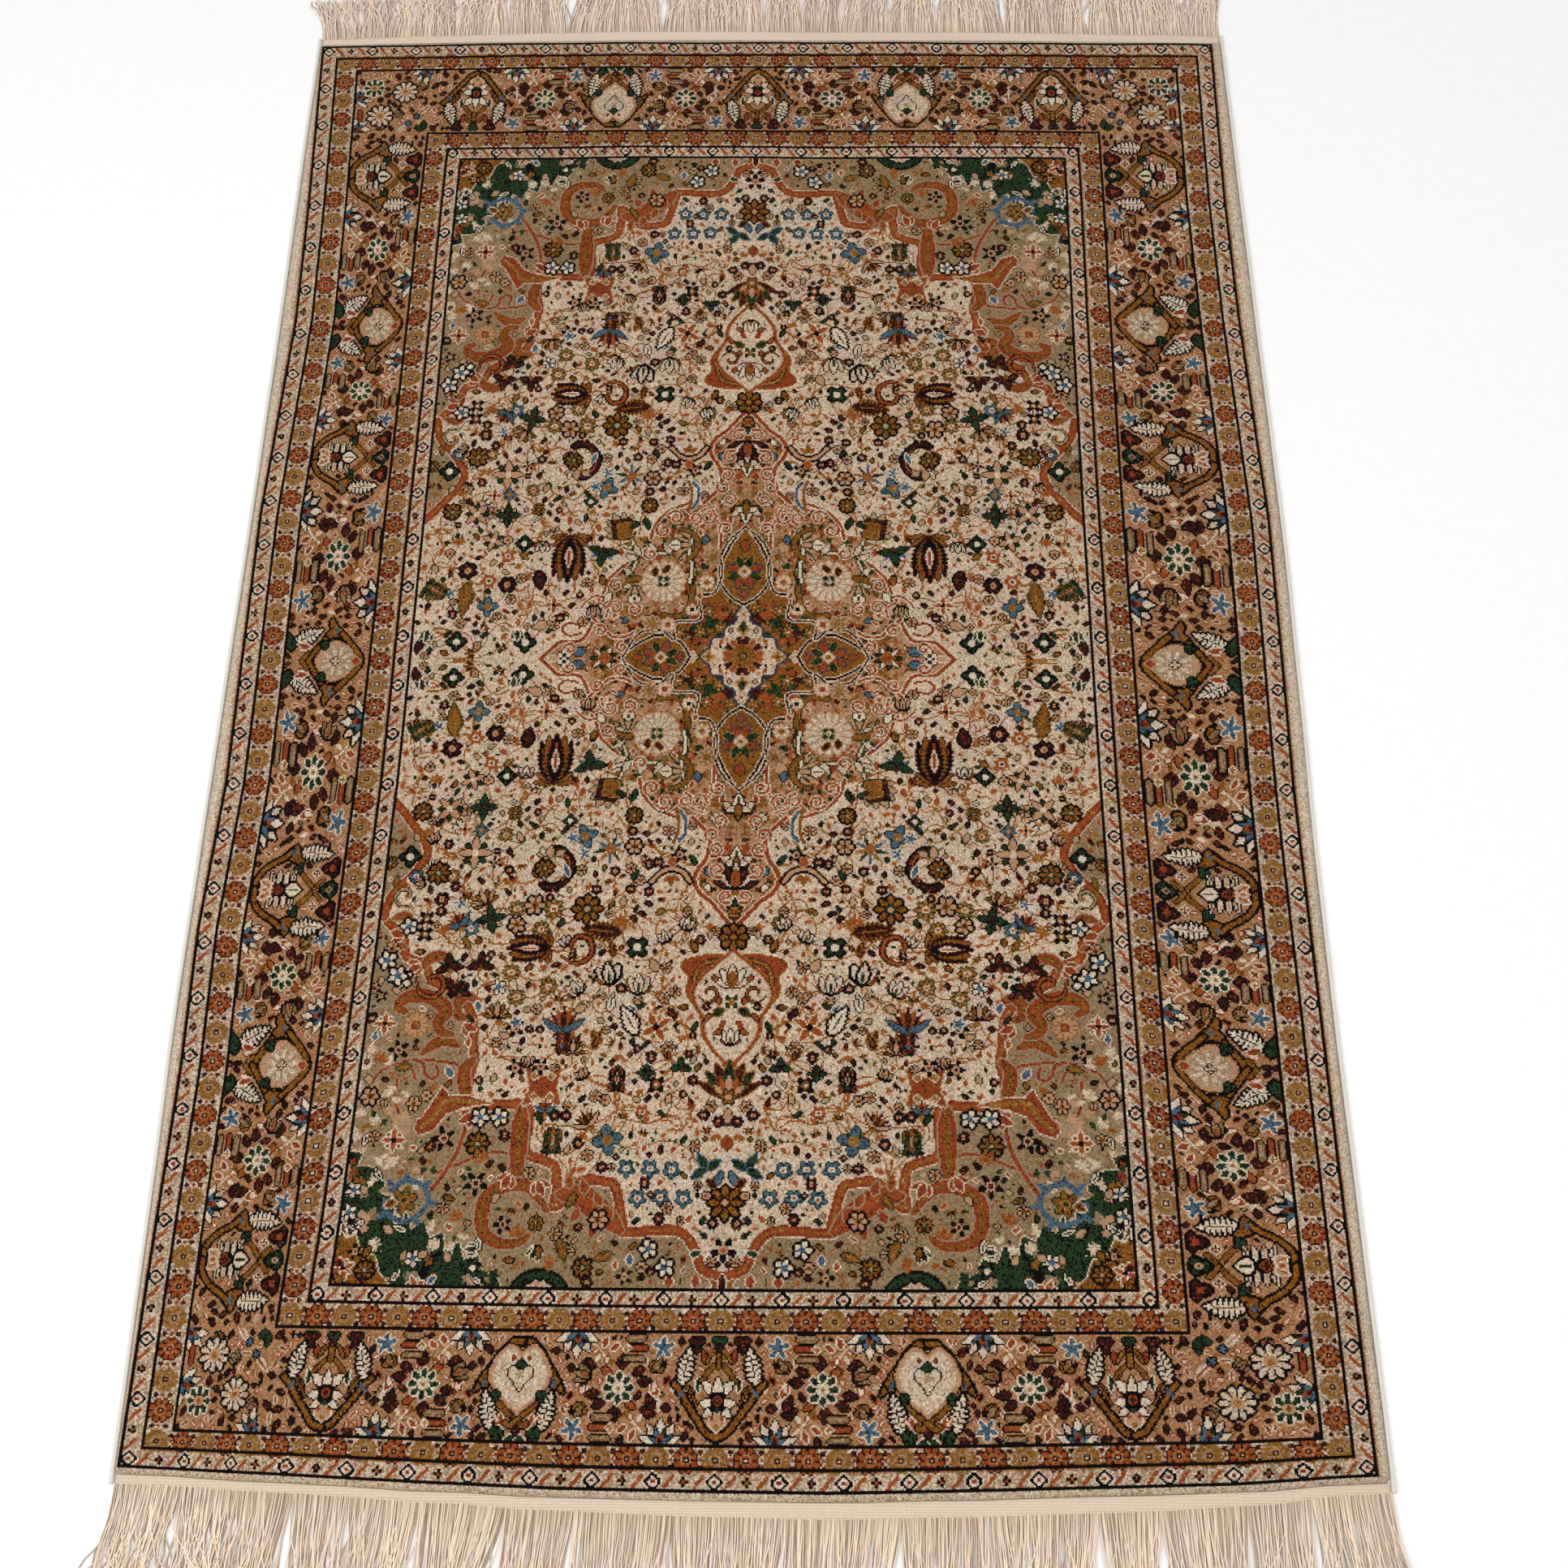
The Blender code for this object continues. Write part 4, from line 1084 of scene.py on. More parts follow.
spandrelMotifs = {
    "blueBud": ((286, 484, 13, -60), (374, 446, 10, -100), (92, 652, 12, 90), (282, 676, 10, 60)),
    "whiteFlower": ((234, 522, 9, 0), (254, 522, 9, 30), (57, 667, 9, 0), (74, 650, 9, 0), (352, 378, 11, 0),
        (374, 596, 8, 10), (306, 662, 8, 30), (376, 618, 8, 0)),
    "blackStar": ((289, 544, 13, 0), (252, 588, 13, 20), (160, 642, 9, 0), (221, 628, 10, 0),
        (346, 454, 12, 0), (372, 396, 8, 0), (96, 676, 9, 0), (364, 656, 8, 0)),
    "greenFour": ((340, 546, 8, 0), (359, 239, 11, 0), (246, 670, 8, 20)),
    "rustCross": ((340, 546, 13, 0), (364, 426, 12, 0), (300, 688, 11, 30), (374, 672, 12, 20)),
    "ochreFlower": ((254, 549, 11, 0), (380, 246, 8, 0), (352, 674, 9, 0), (138, 668, 9, 0),
        (188, 626, 8, 0)),
    "peachSix": ((324, 509, 8, 0), (126, 622, 9, 0), (370, 502, 9, 0)),
    "darkTrefoil": ((289, 392, 13, -90),),
    "rustSpray": ((246, 566, 13, -60), (266, 624, 13, -60), (176, 664, 12, 180), (366, 466, 13, -120),
        (206, 640, 14, -90)),
    "greenTulip": ((184, 650, 13, 60), (352, 270, 12, -90), (244, 652, 12, 0), (370, 640, 10, -60)),
    "ochreBud": ((184, 646, 11, 100), (284, 600, 10, 160), (372, 688, 12, -50), (356, 662, 11, -120)),
    "peachLeaf": ((228, 598, 10, 60), (352, 392, 10, -30), (376, 480, 11, 120), (330, 638, 12, -40),
        (292, 656, 11, 20), (270, 664, 11, -60), (360, 600, 11, -50), (384, 580, 11, -100)),
    "whiteLeaf": ((244, 640, 15, 100), (316, 636, 14, -20), (348, 586, 14, -60), (370, 552, 13, -100),
        (382, 640, 16, -80), (360, 626, 14, 40), (236, 684, 13, -30), (324, 684, 14, -120)),
    "ochreLeaf": ((330, 470, 18, 10), (110, 654, 20, 20), (372, 274, 14, -100), (150, 596, 18, 60),
        (164, 640, 24, 110)),
    "maroonBud": ((366, 214, 10, 60), (352, 690, 12, -80), (384, 664, 11, 150)),
    "greenSeed": ((296, 580, 10, -90), (304, 572, 10, 60), (350, 524, 10, 60), (366, 516, 10, 120)),
    "goldSeed": ((366, 530, 10, 30),),
}


def nearLobe(chart):
    # the pale lobe on the middle line against the near guard, and the arc under it
    bloom(chart, 0, 650, 13, 90, 5, "black", "ivory", "peach", "rust", deep=0.22)
    for x, y, turn in ((16, 640, -40), (22, 652, 20)):
        leaf(chart, x, y, 12, turn, 0.5, "green", "ivory")
    for side in (26, 52):
        leaf(chart, side, 686, 13, -90, 0.6, "brick", "ivory")
    fan(chart, 0, 692, 20, -90, 5, 150, ("maroon", "ochre"), "ivory", width=0.4)


fieldSeeds = (                    # small things the weaver puts wherever the ground is left bare
    ("rustBud", 9), ("maroonBud", 9), ("greenLeaf", 9), ("peachLeaf", 8.5), ("ochreBud", 9), ("sprig", 11),
    ("rustLeaf", 9), ("maroonSix", 5.5), ("peachSix", 6), ("darkLeaf", 9), ("rustSpray", 9),
    ("ochreSpray", 9), ("darkSeed", 6), ("rustSeed", 7), ("greenSeed", 7), ("goldSeed", 8), ("darkLeaf", 8),
    ("paleSeed", 8),
)
borderSeeds = (
    ("darkSeed", 9), ("maroonSeed", 9), ("paleSeed", 9), ("whiteSeed", 7), ("maroonSeed", 10),
    ("darkLeaf", 11),
)


def stems(chart, seed):
    # each motif hangs on thin stems from the two motifs nearest to it
    seeded = np.random.default_rng(seed)
    places = [place[:2] for kind in fieldMotifs for place in fieldMotifs[kind]]
    for x, y in places:
        for farX, farY in sorted(places, key=lambda place: math.dist(place, (x, y)))[1:4]:
            bow = seeded.uniform(-0.35, 0.35)
            middle = ((x + farX) / 2 + bow * (farY - y), (y + farY) / 2 - bow * (farX - x))
            yarn = seeded.choice(("gold", "gold", "ochre", "rust"))
            stroke(chart, [(x, y), middle, (farX, farY)], yarn, 1.5)


def fillBare(chart, ground, seeds, spare, number, seed):
    seeded = np.random.default_rng(seed)
    bare = [yarnNumber[ground], yarnNumber["gold"]]
    for share in (1.0, 0.75, 0.6):
        for _ in range(number):
            x, y = seeded.uniform(4, chart["x"][-1] - 4), seeded.uniform(4, chart["y"][-1] - 4)
            kind, size = seeds[seeded.integers(len(seeds))]
            size *= share
            view, along, aside = around(chart, x, y, size * 0.5 + spare)
            inside = np.hypot(along, aside) < size * 0.5 + spare
            if inside.sum() > 3 and np.isin(view[inside], bare).mean() > 0.96:
                turn = seeded.choice([-150, -120, -90, -60, -30, 0, 60, 90])
                draw, *settings = motifKinds[kind]
                back = 0 if draw is bloom else 0.5 * size
                draw(chart, *toward(x, y, turn, -back), size, turn, *settings)


def fieldQuarter():
    chart = blankChart(round(guards["field"][0] / knot), round(guards["field"][1] / knot), True)
    stems(chart, 5)
    for line in vines:
        stroke(chart, line, "gold", 1.9)
    medallion(chart)
    roseDisc(chart)
    medallionFlowers(chart)
    spandrel(chart)
    axisPendants(chart)
    nearLobe(chart)
    for table in (medallionMotifs, spandrelMotifs, fieldMotifs):
        for kind, places in table.items():
            draw, *settings = motifKinds[kind]
            repeat(chart, draw, places, *settings)
    for number, ground in enumerate(("ivory", "taupe", "salmon")):
        fillBare(chart, ground, fieldSeeds, 1.9, 3500, number)
    return chart


def mirrored(quarter):
    return np.block([[quarter[::-1, ::-1], quarter[::-1]], [quarter[:, ::-1], quarter]])


blends = {                        # the share of each dyed lot's knots that come out in another shade
    "green": (("black", 0.3),),
    "maroon": (("black", 0.25), ("brick", 0.08)),
    "ivory": (("beige", 0.1), ("white", 0.24), ("peach", 0.05)),
    "salmon": (("tan", 0.14), ("peach", 0.24), ("rust", 0.05)),
    "taupe": (("tan", 0.16), ("beige", 0.2), ("ochre", 0.05)),
    "rust": (("brick", 0.25), ("salmon", 0.06)),
    "brick": (("rust", 0.2), ("maroon", 0.06)),
    "gold": (("ochre", 0.25), ("peach", 0.08)),
    "ochre": (("maroon", 0.08), ("gold", 0.2)),
    "tan": (("ochre", 0.15), ("beige", 0.2)),
    "blue": (("slate", 0.22),),
    "white": (("ivory", 0.3),),
}


def spun(yarns):
    # knots of neighbouring shades spun through each yarn, which the photo shows as its speckle
    chance = np.random.default_rng(9).random(yarns.shape)
    mixed = yarns.copy()
    for yarn, others in blends.items():
        below = 0.0
        for other, share in others:
            picked = (chance >= below) & (chance < below + share)
            mixed[(yarns == yarnNumber[yarn]) & picked] = yarnNumber[other]
            below += share
    return mixed


def knottedChart():
    # the whole pile, margins and guards included
    field = fieldQuarter()["yarn"]
    quarter = np.full((chartKnots[1] // 2, chartKnots[0] // 2), yarnNumber["salmon"])
    start = [round(place / knot) for place in guards["main"]]
    depth = round(borderDepth / knot)
    end, side = borderStrip("end", guards["main"][0]), borderStrip("side", guards["main"][1])
    quarter[start[1]:start[1] + depth, :end.shape[1]] = end
    quarter[:side.shape[1], start[0]:start[0] + depth] = side.T
    quarter[start[1]:start[1] + depth, start[0]:start[0] + depth] = corner()
    chart = blankChart(*chartKnots, False)
    chart["yarn"][:] = mirrored(quarter)
    drawGuards(chart)
    inner = mirrored(field)
    top, left = ((have - need) // 2 for have, need in zip(chart["yarn"].shape, inner.shape))
    chart["yarn"][top:top + inner.shape[0], left:left + inner.shape[1]] = inner
    drawLines(chart)
    across, down = np.abs(chart["x"])[None, :], np.abs(chart["y"])[:, None]
    outside = (across > guards["edge"][0]) | (down > guards["edge"][1])
    chart["yarn"][outside] = yarnNumber["ivory"]
    chart["yarn"][(across > guards["edge"][0] + 4) & outside] = yarnNumber["white"]
    return spun(chart["yarn"])

# What the loom and the floor did to the design: it was woven a little narrow, wide and skewed here and there.
weave = {
    "rightReach": 589.9,          # mm from the design's middle to the pile's furthest place on the right
    "farReach": 883.5,            # the same at the far end
    "sides": (                    # mm from the far line: outer line, field and middle, across, left to right
        (0, -577, -383, -11, 376, 573.5),
        (242, -568, -384, -13, 374, 569.5),
        (405, -564, -384, -15, 371, 570.5),
        (680, -574, -385, -17, 368, 579),
        (1017, -571, -386, -19, 367, 573.5),
        (1180, -579, -390, -22, 368, 574),
        (1330, -577, -395, -24, 369, 575),
        (1490, -580, -400, -26, 370, 576.5),
        (1740, -583, -413, -31, 372, 579),
    ),
    "bows": (                     # mm across: how far the near and the far outer line bow out
        (-580, -2, -2), (-425, 5, 2), (-300, 11, 4), (-175, 16, 6), (-50, 18, 6), (75, 19, 5),
        (200, 16, 5), (325, 12, 4), (450, 8, 2), (543, 1, 1), (580, -1, 0),
    ),
    # mm on the chart, mm further from the middle at the corners, and mm more where the line bows out most
    "nearShift": ((450, 15, 1), (689, 12, 5), (730, 12, 4), (832, 4, 12), (852, 1, 16), (870, -1, 18)),
    "farShift": ((450, -14, 2), (689, -7, 5), (730, -4, 5), (832, -0.6, 5), (852, 1, 5), (870, 2, 5)),
    "middle": ((-590, 25), (-480, 27), (-385, 27), (-18, 20), (370, 27), (480, 31), (590, 31)),
    "end": 876.8,                 # mm on the chart from the middle to the pile's ends
    "columns": (-592, -580, -533, -431, -385, 0, 385, 431, 533, 580, 592),
    "sagAt": 450,                 # mm on the chart, the side borders' second roundel
    "borderSag": 16,              # mm that it lies further towards the near end
    "rim": 40,                    # mm that the pile's outline wanders inwards at most
}


class Loom:
    # places on the chart to places on the floor

    def __init__(self):
        _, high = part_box("pile")
        self.middle = (high.x / mm - weave["rightReach"], high.y / mm - weave["farReach"])
        rim = footOf("pile")[:, :2] - self.middle
        self.rim = {}
        for name, along, sign in (("left", 1, -1), ("right", 1, 1), ("near", 0, -1), ("far", 0, 1)):
            reach = sign * rim[:, 1 - along]
            edge = rim[reach > reach.max() - weave["rim"]]
            self.rim[name] = edge[np.argsort(edge[:, along])][:, (along, 1 - along)]

    def edge(self, name, at):
        return np.interp(at, *self.rim[name].T)

    def place(self, across, down):
        # chart mm to design mm; the design's y points to the far end
        sides = np.array(weave["sides"], float)
        fromFar = guards["edge"][1] + down
        outerLeft, left, middle, right, outerRight = (np.interp(fromFar, sides[:, 0], sides[:, k])
                                                      for k in range(1, 6))
        line = np.stack([self.edge("left", -down), outerLeft, outerLeft + 47, left - 46, left, middle, right,
                         right + 46, outerRight - 47, outerRight, self.edge("right", -down)], -1)
        x = self.through(across, np.array(weave["columns"]), line)
        bows = np.array(weave["bows"], float)
        near = (np.interp(x, bows[:, 0], bows[:, 1]) + 1) / 19
        far = (np.interp(x, bows[:, 0], bows[:, 2]) + 1) / 6
        sag = weave["borderSag"] * np.clip((np.abs(x) - guards["field"][0]) / 60, 0, 1)
        stops, line = [-weave["end"]], [-self.edge("far", x)]
        for stop, corner, bow in reversed(weave["farShift"]):
            stops.append(-stop)
            line.append(-(stop + corner + bow * far) + (sag if stop == weave["sagAt"] else 0))
        stops.append(0)
        line.append(np.interp(x, *np.array(weave["middle"], float).T))
        for stop, corner, bow in weave["nearShift"]:
            stops.append(stop)
            line.append(stop + corner + bow * near + (sag if stop == weave["sagAt"] else 0))
        stops.append(weave["end"])
        line.append(-self.edge("near", x))
        return x, -self.through(down, np.array(stops), np.stack(line, -1))

    @staticmethod
    def through(value, stops, line):
        # linear between stops, with its own line of results for each value
        number = np.clip(np.searchsorted(stops, value) - 1, 0, len(stops) - 2)
        share = (value - stops[number]) / (stops[number + 1] - stops[number])
        low = np.take_along_axis(line, number[:, None], 1)[:, 0]
        high = np.take_along_axis(line, number[:, None] + 1, 1)[:, 0]
        return low * (1 - share) + high * share


def cornersOf(node):
    return np.array([vert.co[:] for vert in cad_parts[node].data.vertices]) / mm


def footOf(node):
    # the corners of a CAD node, in mm, that stand on the floor
    corners = cornersOf(node)
    return corners[corners[:, 2] < 0.1]


loom = Loom()


def finished(shape, name, *materials):
    mesh = bpy.data.meshes.new(name)
    shape.to_mesh(mesh)
    shape.free()
    return placed(mesh, name, *materials)


def placed(mesh, name, *materials):
    obj = bpy.data.objects.new(name, mesh)
    bpy.context.scene.collection.objects.link(obj)
    for material in materials:
        mesh.materials.append(material)
    return obj


def slab(columns, rows):
    # a sheet one unit wide and long at height 0, with walls down to a flat back at height -1
    shape = bmesh.new()
    bmesh.ops.create_grid(shape, x_segments=columns, y_segments=rows, size=0.5)
    rim = [edge for edge in shape.edges if edge.is_boundary]
    walls = bmesh.ops.extrude_edge_only(shape, edges=rim)["geom"]
    for item in walls:
        if isinstance(item, bmesh.types.BMVert):
            item.co.z = -1.0
    foot = [item for item in walls if isinstance(item, bmesh.types.BMEdge) and item.is_boundary]
    bmesh.ops.contextual_create(shape, geom=foot)
    bmesh.ops.recalc_face_normals(shape, faces=shape.faces)
    return shape


# Materials

def linear(colour):
    # an sRGB hex colour as Blender's linear one
    parts = [int(colour[k:k + 2], 16) / 255 for k in (1, 3, 5)]
    return (*(p / 12.92 if p <= 0.04045 else ((p + 0.055) / 1.055) ** 2.4 for p in parts), 1.0)


def newMaterial(name, **uniform):
    # a material whose uniform values sit on the shader's own sockets
    material = bpy.data.materials.new(name)
    material.use_nodes = True
    tree = material.node_tree
    shader = tree.nodes["Principled BSDF"]
    for socket, value in uniform.items():
        shader.inputs[socket.replace("_", " ")].default_value = value
    return material, tree, shader


def add(tree, kind, settings=(), **links):
    # one node with its settings; its sockets, by label or by an s and their number, are linked or set
    node = tree.nodes.new("ShaderNode" + kind)
    for name, value in dict(settings).items():
        setattr(node, name, value)
    for name, value in links.items():
        socket = node.inputs[int(name[1:]) if name[1:].isdigit() else name.replace("_", " ")]
        if isinstance(value, bpy.types.NodeSocket):
            tree.links.new(value, socket)
        else:
            socket.default_value = value
    return node


def maths(tree, operation, first, second=0.0, third=0.0):
    return add(tree, "Math", {"operation": operation}, s0=first, s1=second, s2=third).outputs[0]


def vector(tree, operation, *values, **links):
    numbered = {f"s{number}": value for number, value in enumerate(values)}
    return add(tree, "VectorMath", {"operation": operation}, **numbered, **links).outputs[0]


def clamped(tree, value, high):
    return maths(tree, "MINIMUM", maths(tree, "MAXIMUM", value, 0.0), high)


def flatNoise(tree, kind, place, **links):
    return add(tree, kind, {"noise_dimensions": "2D"}, Vector=place, **links).outputs


def blended(tree, kind, share, first, second):
    # two colours mixed in one of Blender's ways
    node = add(tree, "Mix", {"data_type": "RGBA", "blend_type": kind, "clamp_result": True},
               s0=share, s6=first, s7=second)
    return node.outputs[2]


def bump(tree, shader, height, strength, distance):
    node = add(tree, "Bump", {}, Strength=strength, Distance=distance * mm, Height=height)
    tree.links.new(node.outputs[0], shader.inputs["Normal"])


pileLooks = {
    "jitter": 0.42,               # knots that the tufts lean into their neighbours
    "fray": 0.225,                # knots that single hairs stray on top of that
    "knotTone": 0.46,             # how much one knot's yarn differs from the next
    "abrash": 0.16,               # how far the dye lots drift in wide bands
    "tuftsAndShade": (2.0, -0.02),         # how much the cut tips differ in tone, with painted shade between tufts and painted highlights on tips, and how dark the whole is
    "roughness": 0.62,            # silk in the yarn: brighter where the light grazes it
    "sheen": 0.015,
    "tuft": 0.35,                 # mm of relief between knots
}


def yarnAt(tree, cell):
    # the number of the yarn knotted at a place in its cell, read from the row that the cell keeps of it
    inCell = add(tree, "SeparateXYZ", {}, s0=cell).outputs
    apron = pileSheet["apron"]
    last = pileSheet["cell"] + 2 * apron - 1
    column, row = (maths(tree, "FLOOR", clamped(tree, maths(tree, "ADD", inCell[k], apron), last + 0.99))
                   for k in (0, 1))
    packed = add(tree, "Attribute", {"attribute_name": "knotRow0"}).outputs["Fac"]
    for number in range(1, last + 1):
        reached = maths(tree, "GREATER_THAN", row, number - 0.5)
        nextRow = add(tree, "Attribute", {"attribute_name": f"knotRow{number}"}).outputs["Fac"]
        packed = maths(tree, "ADD", maths(tree, "MULTIPLY", packed, maths(tree, "SUBTRACT", 1.0, reached)),
                       maths(tree, "MULTIPLY", nextRow, reached))
    above = maths(tree, "FLOOR", maths(tree, "DIVIDE", packed, maths(tree, "POWER", 16.0, column)))
    return maths(tree, "MODULO", above, 16.0)


def pileMaterial():
    # dyed wool and silk, knotted and shorn: matt at the tips, a soft sheen, ragged edges between colours,
    # painted shade between the tufts
    material, tree, shader = newMaterial(
        "Dyed wool and silk pile, hand knotted and shorn", Roughness=pileLooks["roughness"],
        Specular_IOR_Level=0.05, Sheen_Weight=pileLooks["sheen"], Sheen_Roughness=0.45,
        Sheen_Tint=linear("#FFF1DE"))
    cell = add(tree, "UVMap", {"uv_map": "knotCell"}).outputs[0]
    knots = add(tree, "UVMap", {"uv_map": "knots"}).outputs[0]
    # tufts lean over the edge between two colours, so each place looks up a knot up to half a knot away
    lean = flatNoise(tree, "TexNoise", knots, Scale=0.9, Detail=2.0, Roughness=0.7)["Color"]
    fine = flatNoise(tree, "TexWhiteNoise",
                     vector(tree, "FLOOR", vector(tree, "SCALE", knots, Scale=3.0)))["Color"]
    fray = pileLooks["fray"]
    shift = vector(tree, "ADD", vector(tree, "SUBTRACT", lean, (0.5, 0.5, 0.5)),
                   vector(tree, "MULTIPLY_ADD", fine, (2 * fray,) * 3, (-fray,) * 3))
    leaning = vector(tree, "MULTIPLY_ADD", shift, (2 * pileLooks["jitter"],) * 3, cell)
    share = maths(tree, "DIVIDE", maths(tree, "ADD", yarnAt(tree, leaning), 0.5), 16.0)
    yarn = add(tree, "ValToRGB", {}, Fac=share)
    ramp = yarn.color_ramp
    ramp.interpolation = "CONSTANT"
    for number, colour in enumerate(yarnHex.values()):
        stop = ramp.elements[number] if number < 2 else ramp.elements.new(number / 16)
        stop.position = number / 16
        stop.color = linear(colour)
    # each knot takes the dye a little differently, and the lots drift along the rug
    single = flatNoise(tree, "TexWhiteNoise", vector(tree, "FLOOR", knots))["Value"]
    tone = maths(tree, "MULTIPLY_ADD", single, pileLooks["knotTone"], 1 - pileLooks["knotTone"] / 2)
    place = add(tree, "TexCoord").outputs["Object"]
    wide = add(tree, "Mapping", {}, Vector=place, Scale=(1.2, 7.0, 1.0)).outputs[0]
    bands = add(tree, "TexNoise", {}, Vector=wide, Scale=1.6, Detail=3.0, Roughness=0.6).outputs[0]
    drift = maths(tree, "MULTIPLY_ADD", bands, pileLooks["abrash"] * 2, 1 - pileLooks["abrash"])
    # this noise paints shade between the tufts and highlights on their tips into the colour, and also gives
    # the tufts' relief
    tuftsAndShade = flatNoise(tree, "TexNoise", knots, Scale=2.4, Detail=3.0, Roughness=0.75)[0]
    shade = maths(tree, "MULTIPLY", maths(tree, "MULTIPLY", tone, drift),
                  maths(tree, "MULTIPLY_ADD", tuftsAndShade, *pileLooks["tuftsAndShade"]))
    grey = add(tree, "CombineColor", {}, s0=shade, s1=shade, s2=shade).outputs[0]
    tree.links.new(blended(tree, "MULTIPLY", 1.0, yarn.outputs["Color"], grey), shader.inputs["Base Color"])
    inKnot = vector(tree, "FRACTION", knots)
    away = add(tree, "VectorMath", {"operation": "DISTANCE"}, s0=inKnot, s1=(0.5, 0.5, 0.0)).outputs["Value"]
    dome = maths(tree, "SUBTRACT", 1.0, away)
    height = maths(tree, "ADD", maths(tree, "MULTIPLY", dome, 0.5), maths(tree, "MULTIPLY", tuftsAndShade, 0.9))
    bump(tree, shader, height, 0.8, pileLooks["tuft"])
    return material


def pileSideMaterial():
    # the cut side of the pile and its woven back: undyed, dusty wool
    material, tree, shader = newMaterial("Undyed wool, cut side and woven back", Roughness=0.9,
                                         Sheen_Weight=0.2)
    place = add(tree, "TexCoord").outputs["Object"]
    # a weft every 2.5 mm, coarser than life so that it shows
    threads = add(tree, "TexWave", {"wave_type": "BANDS", "bands_direction": "Y"}, Vector=place, Scale=62.0,
                  Distortion=2.0, Detail=2.0).outputs["Fac"]
    tree.links.new(blended(tree, "MIX", threads, linear("#7F705C"), linear("#A89880")),
                   shader.inputs["Base Color"])
    bump(tree, shader, threads, 0.5, 0.3)
    return material


def cottonMaterial(name, pale, deep, relief, rows=0, columns=0, shadeUnderHeight=0):
    # undyed cotton: matt, creamy, faintly fuzzy; rows and columns are mm from thread to thread where it is
    # woven, and yarns that lie under others get painted shade, darker the lower they lie, over the given mm
    # of height
    material, tree, shader = newMaterial(name, Roughness=0.85, Sheen_Weight=0.3)
    place = add(tree, "TexCoord").outputs["Object"]
    stretched = add(tree, "Mapping", {}, Vector=place, Scale=(40.0, 1.0, 1.0)).outputs[0]
    slow = add(tree, "TexNoise", {}, Vector=stretched, Scale=9.0, Detail=3.0).outputs[0]
    quick = add(tree, "TexNoise", {}, Vector=place, Scale=700.0, Detail=2.0).outputs[0]
    share = maths(tree, "MULTIPLY_ADD", slow, 0.7, maths(tree, "MULTIPLY", quick, 0.4))
    # painted shade: yarns lower down are darkened towards the deep colour, as if shaded by the yarns over
    # them
    if shadeUnderHeight:
        up = add(tree, "SeparateXYZ", {}, s0=place).outputs[2]
        share = maths(tree, "MULTIPLY_ADD", up, 1 / (shadeUnderHeight * mm),
                      maths(tree, "MULTIPLY_ADD", share, 0.5, -0.35))
    colour = blended(tree, "MIX", clamped(tree, share, 1.0), linear(deep), linear(pale))
    height = quick
    if rows:
        across, along, _ = add(tree, "SeparateXYZ", {}, s0=place).outputs
        ridge = maths(tree, "SINE", maths(tree, "MULTIPLY", along, math.tau / (rows * mm)))
        beads = maths(tree, "SINE", maths(tree, "MULTIPLY", across, math.tau / (columns * mm)))
        woven = maths(tree, "MULTIPLY", ridge, maths(tree, "MULTIPLY_ADD", beads, 0.3, 0.22))
        height = maths(tree, "ADD", woven, maths(tree, "MULTIPLY", quick, 0.4))
        # painted shade: the hollows between the woven threads are darkened in the colour, following the
        # relief
        paintedHollowShade = blended(tree, "MIX", maths(tree, "MULTIPLY_ADD", height, 0.6, 0.5), linear("#6F5C48"),
                         linear("#FFFFFF"))
        colour = blended(tree, "MULTIPLY", 0.7, colour, paintedHollowShade)
    tree.links.new(colour, shader.inputs["Base Color"])
    bump(tree, shader, height, 0.6, relief)
    return material


# The pile: a sheet with one cell for every four by four knots, which carries its part of the chart.

pileSheet = {
    "cell": 4,                    # knots along each side of a cell
    "apron": 1,                   # knots of its neighbours that a cell knows too
    "height": 6.0,                # mm
    "ripple": 0.8,                # mm that its long ripples rise, as in the CAD part
    "shoulder": 3.9,              # mm high at the shorn edge
    "undulation": 0.35,           # mm that the rug rises and falls on the floor beyond its ripples
}


def rippled(x, y):
    # the height of the pile in mm
    wave = pileSheet["ripple"] * np.sin((y + 0.55 * x) * math.tau / 420) * np.sin(x * math.pi / 420 + 1.0)
    folds = np.sin(x * math.tau / 173 + 1.7) * np.sin(y * math.tau / 211 + 0.4)
    return pileSheet["height"] + wave + pileSheet["undulation"] * folds


def packedRows(chart):
    # for each cell and each of its rows of knots, its yarns as the digits of one number to the base 16
    cell, apron = pileSheet["cell"], pileSheet["apron"]
    wide = np.pad(chart, apron, mode="edge").astype(np.float64)
    down, across = (size // cell for size in chart.shape)
    rows = []
    for row in range(cell + 2 * apron):
        total = np.zeros((down, across))
        for column in range(cell + 2 * apron):
            total += wide[row::cell, column::cell][:down, :across] * 16.0**column
        rows.append(total.ravel())
    return rows


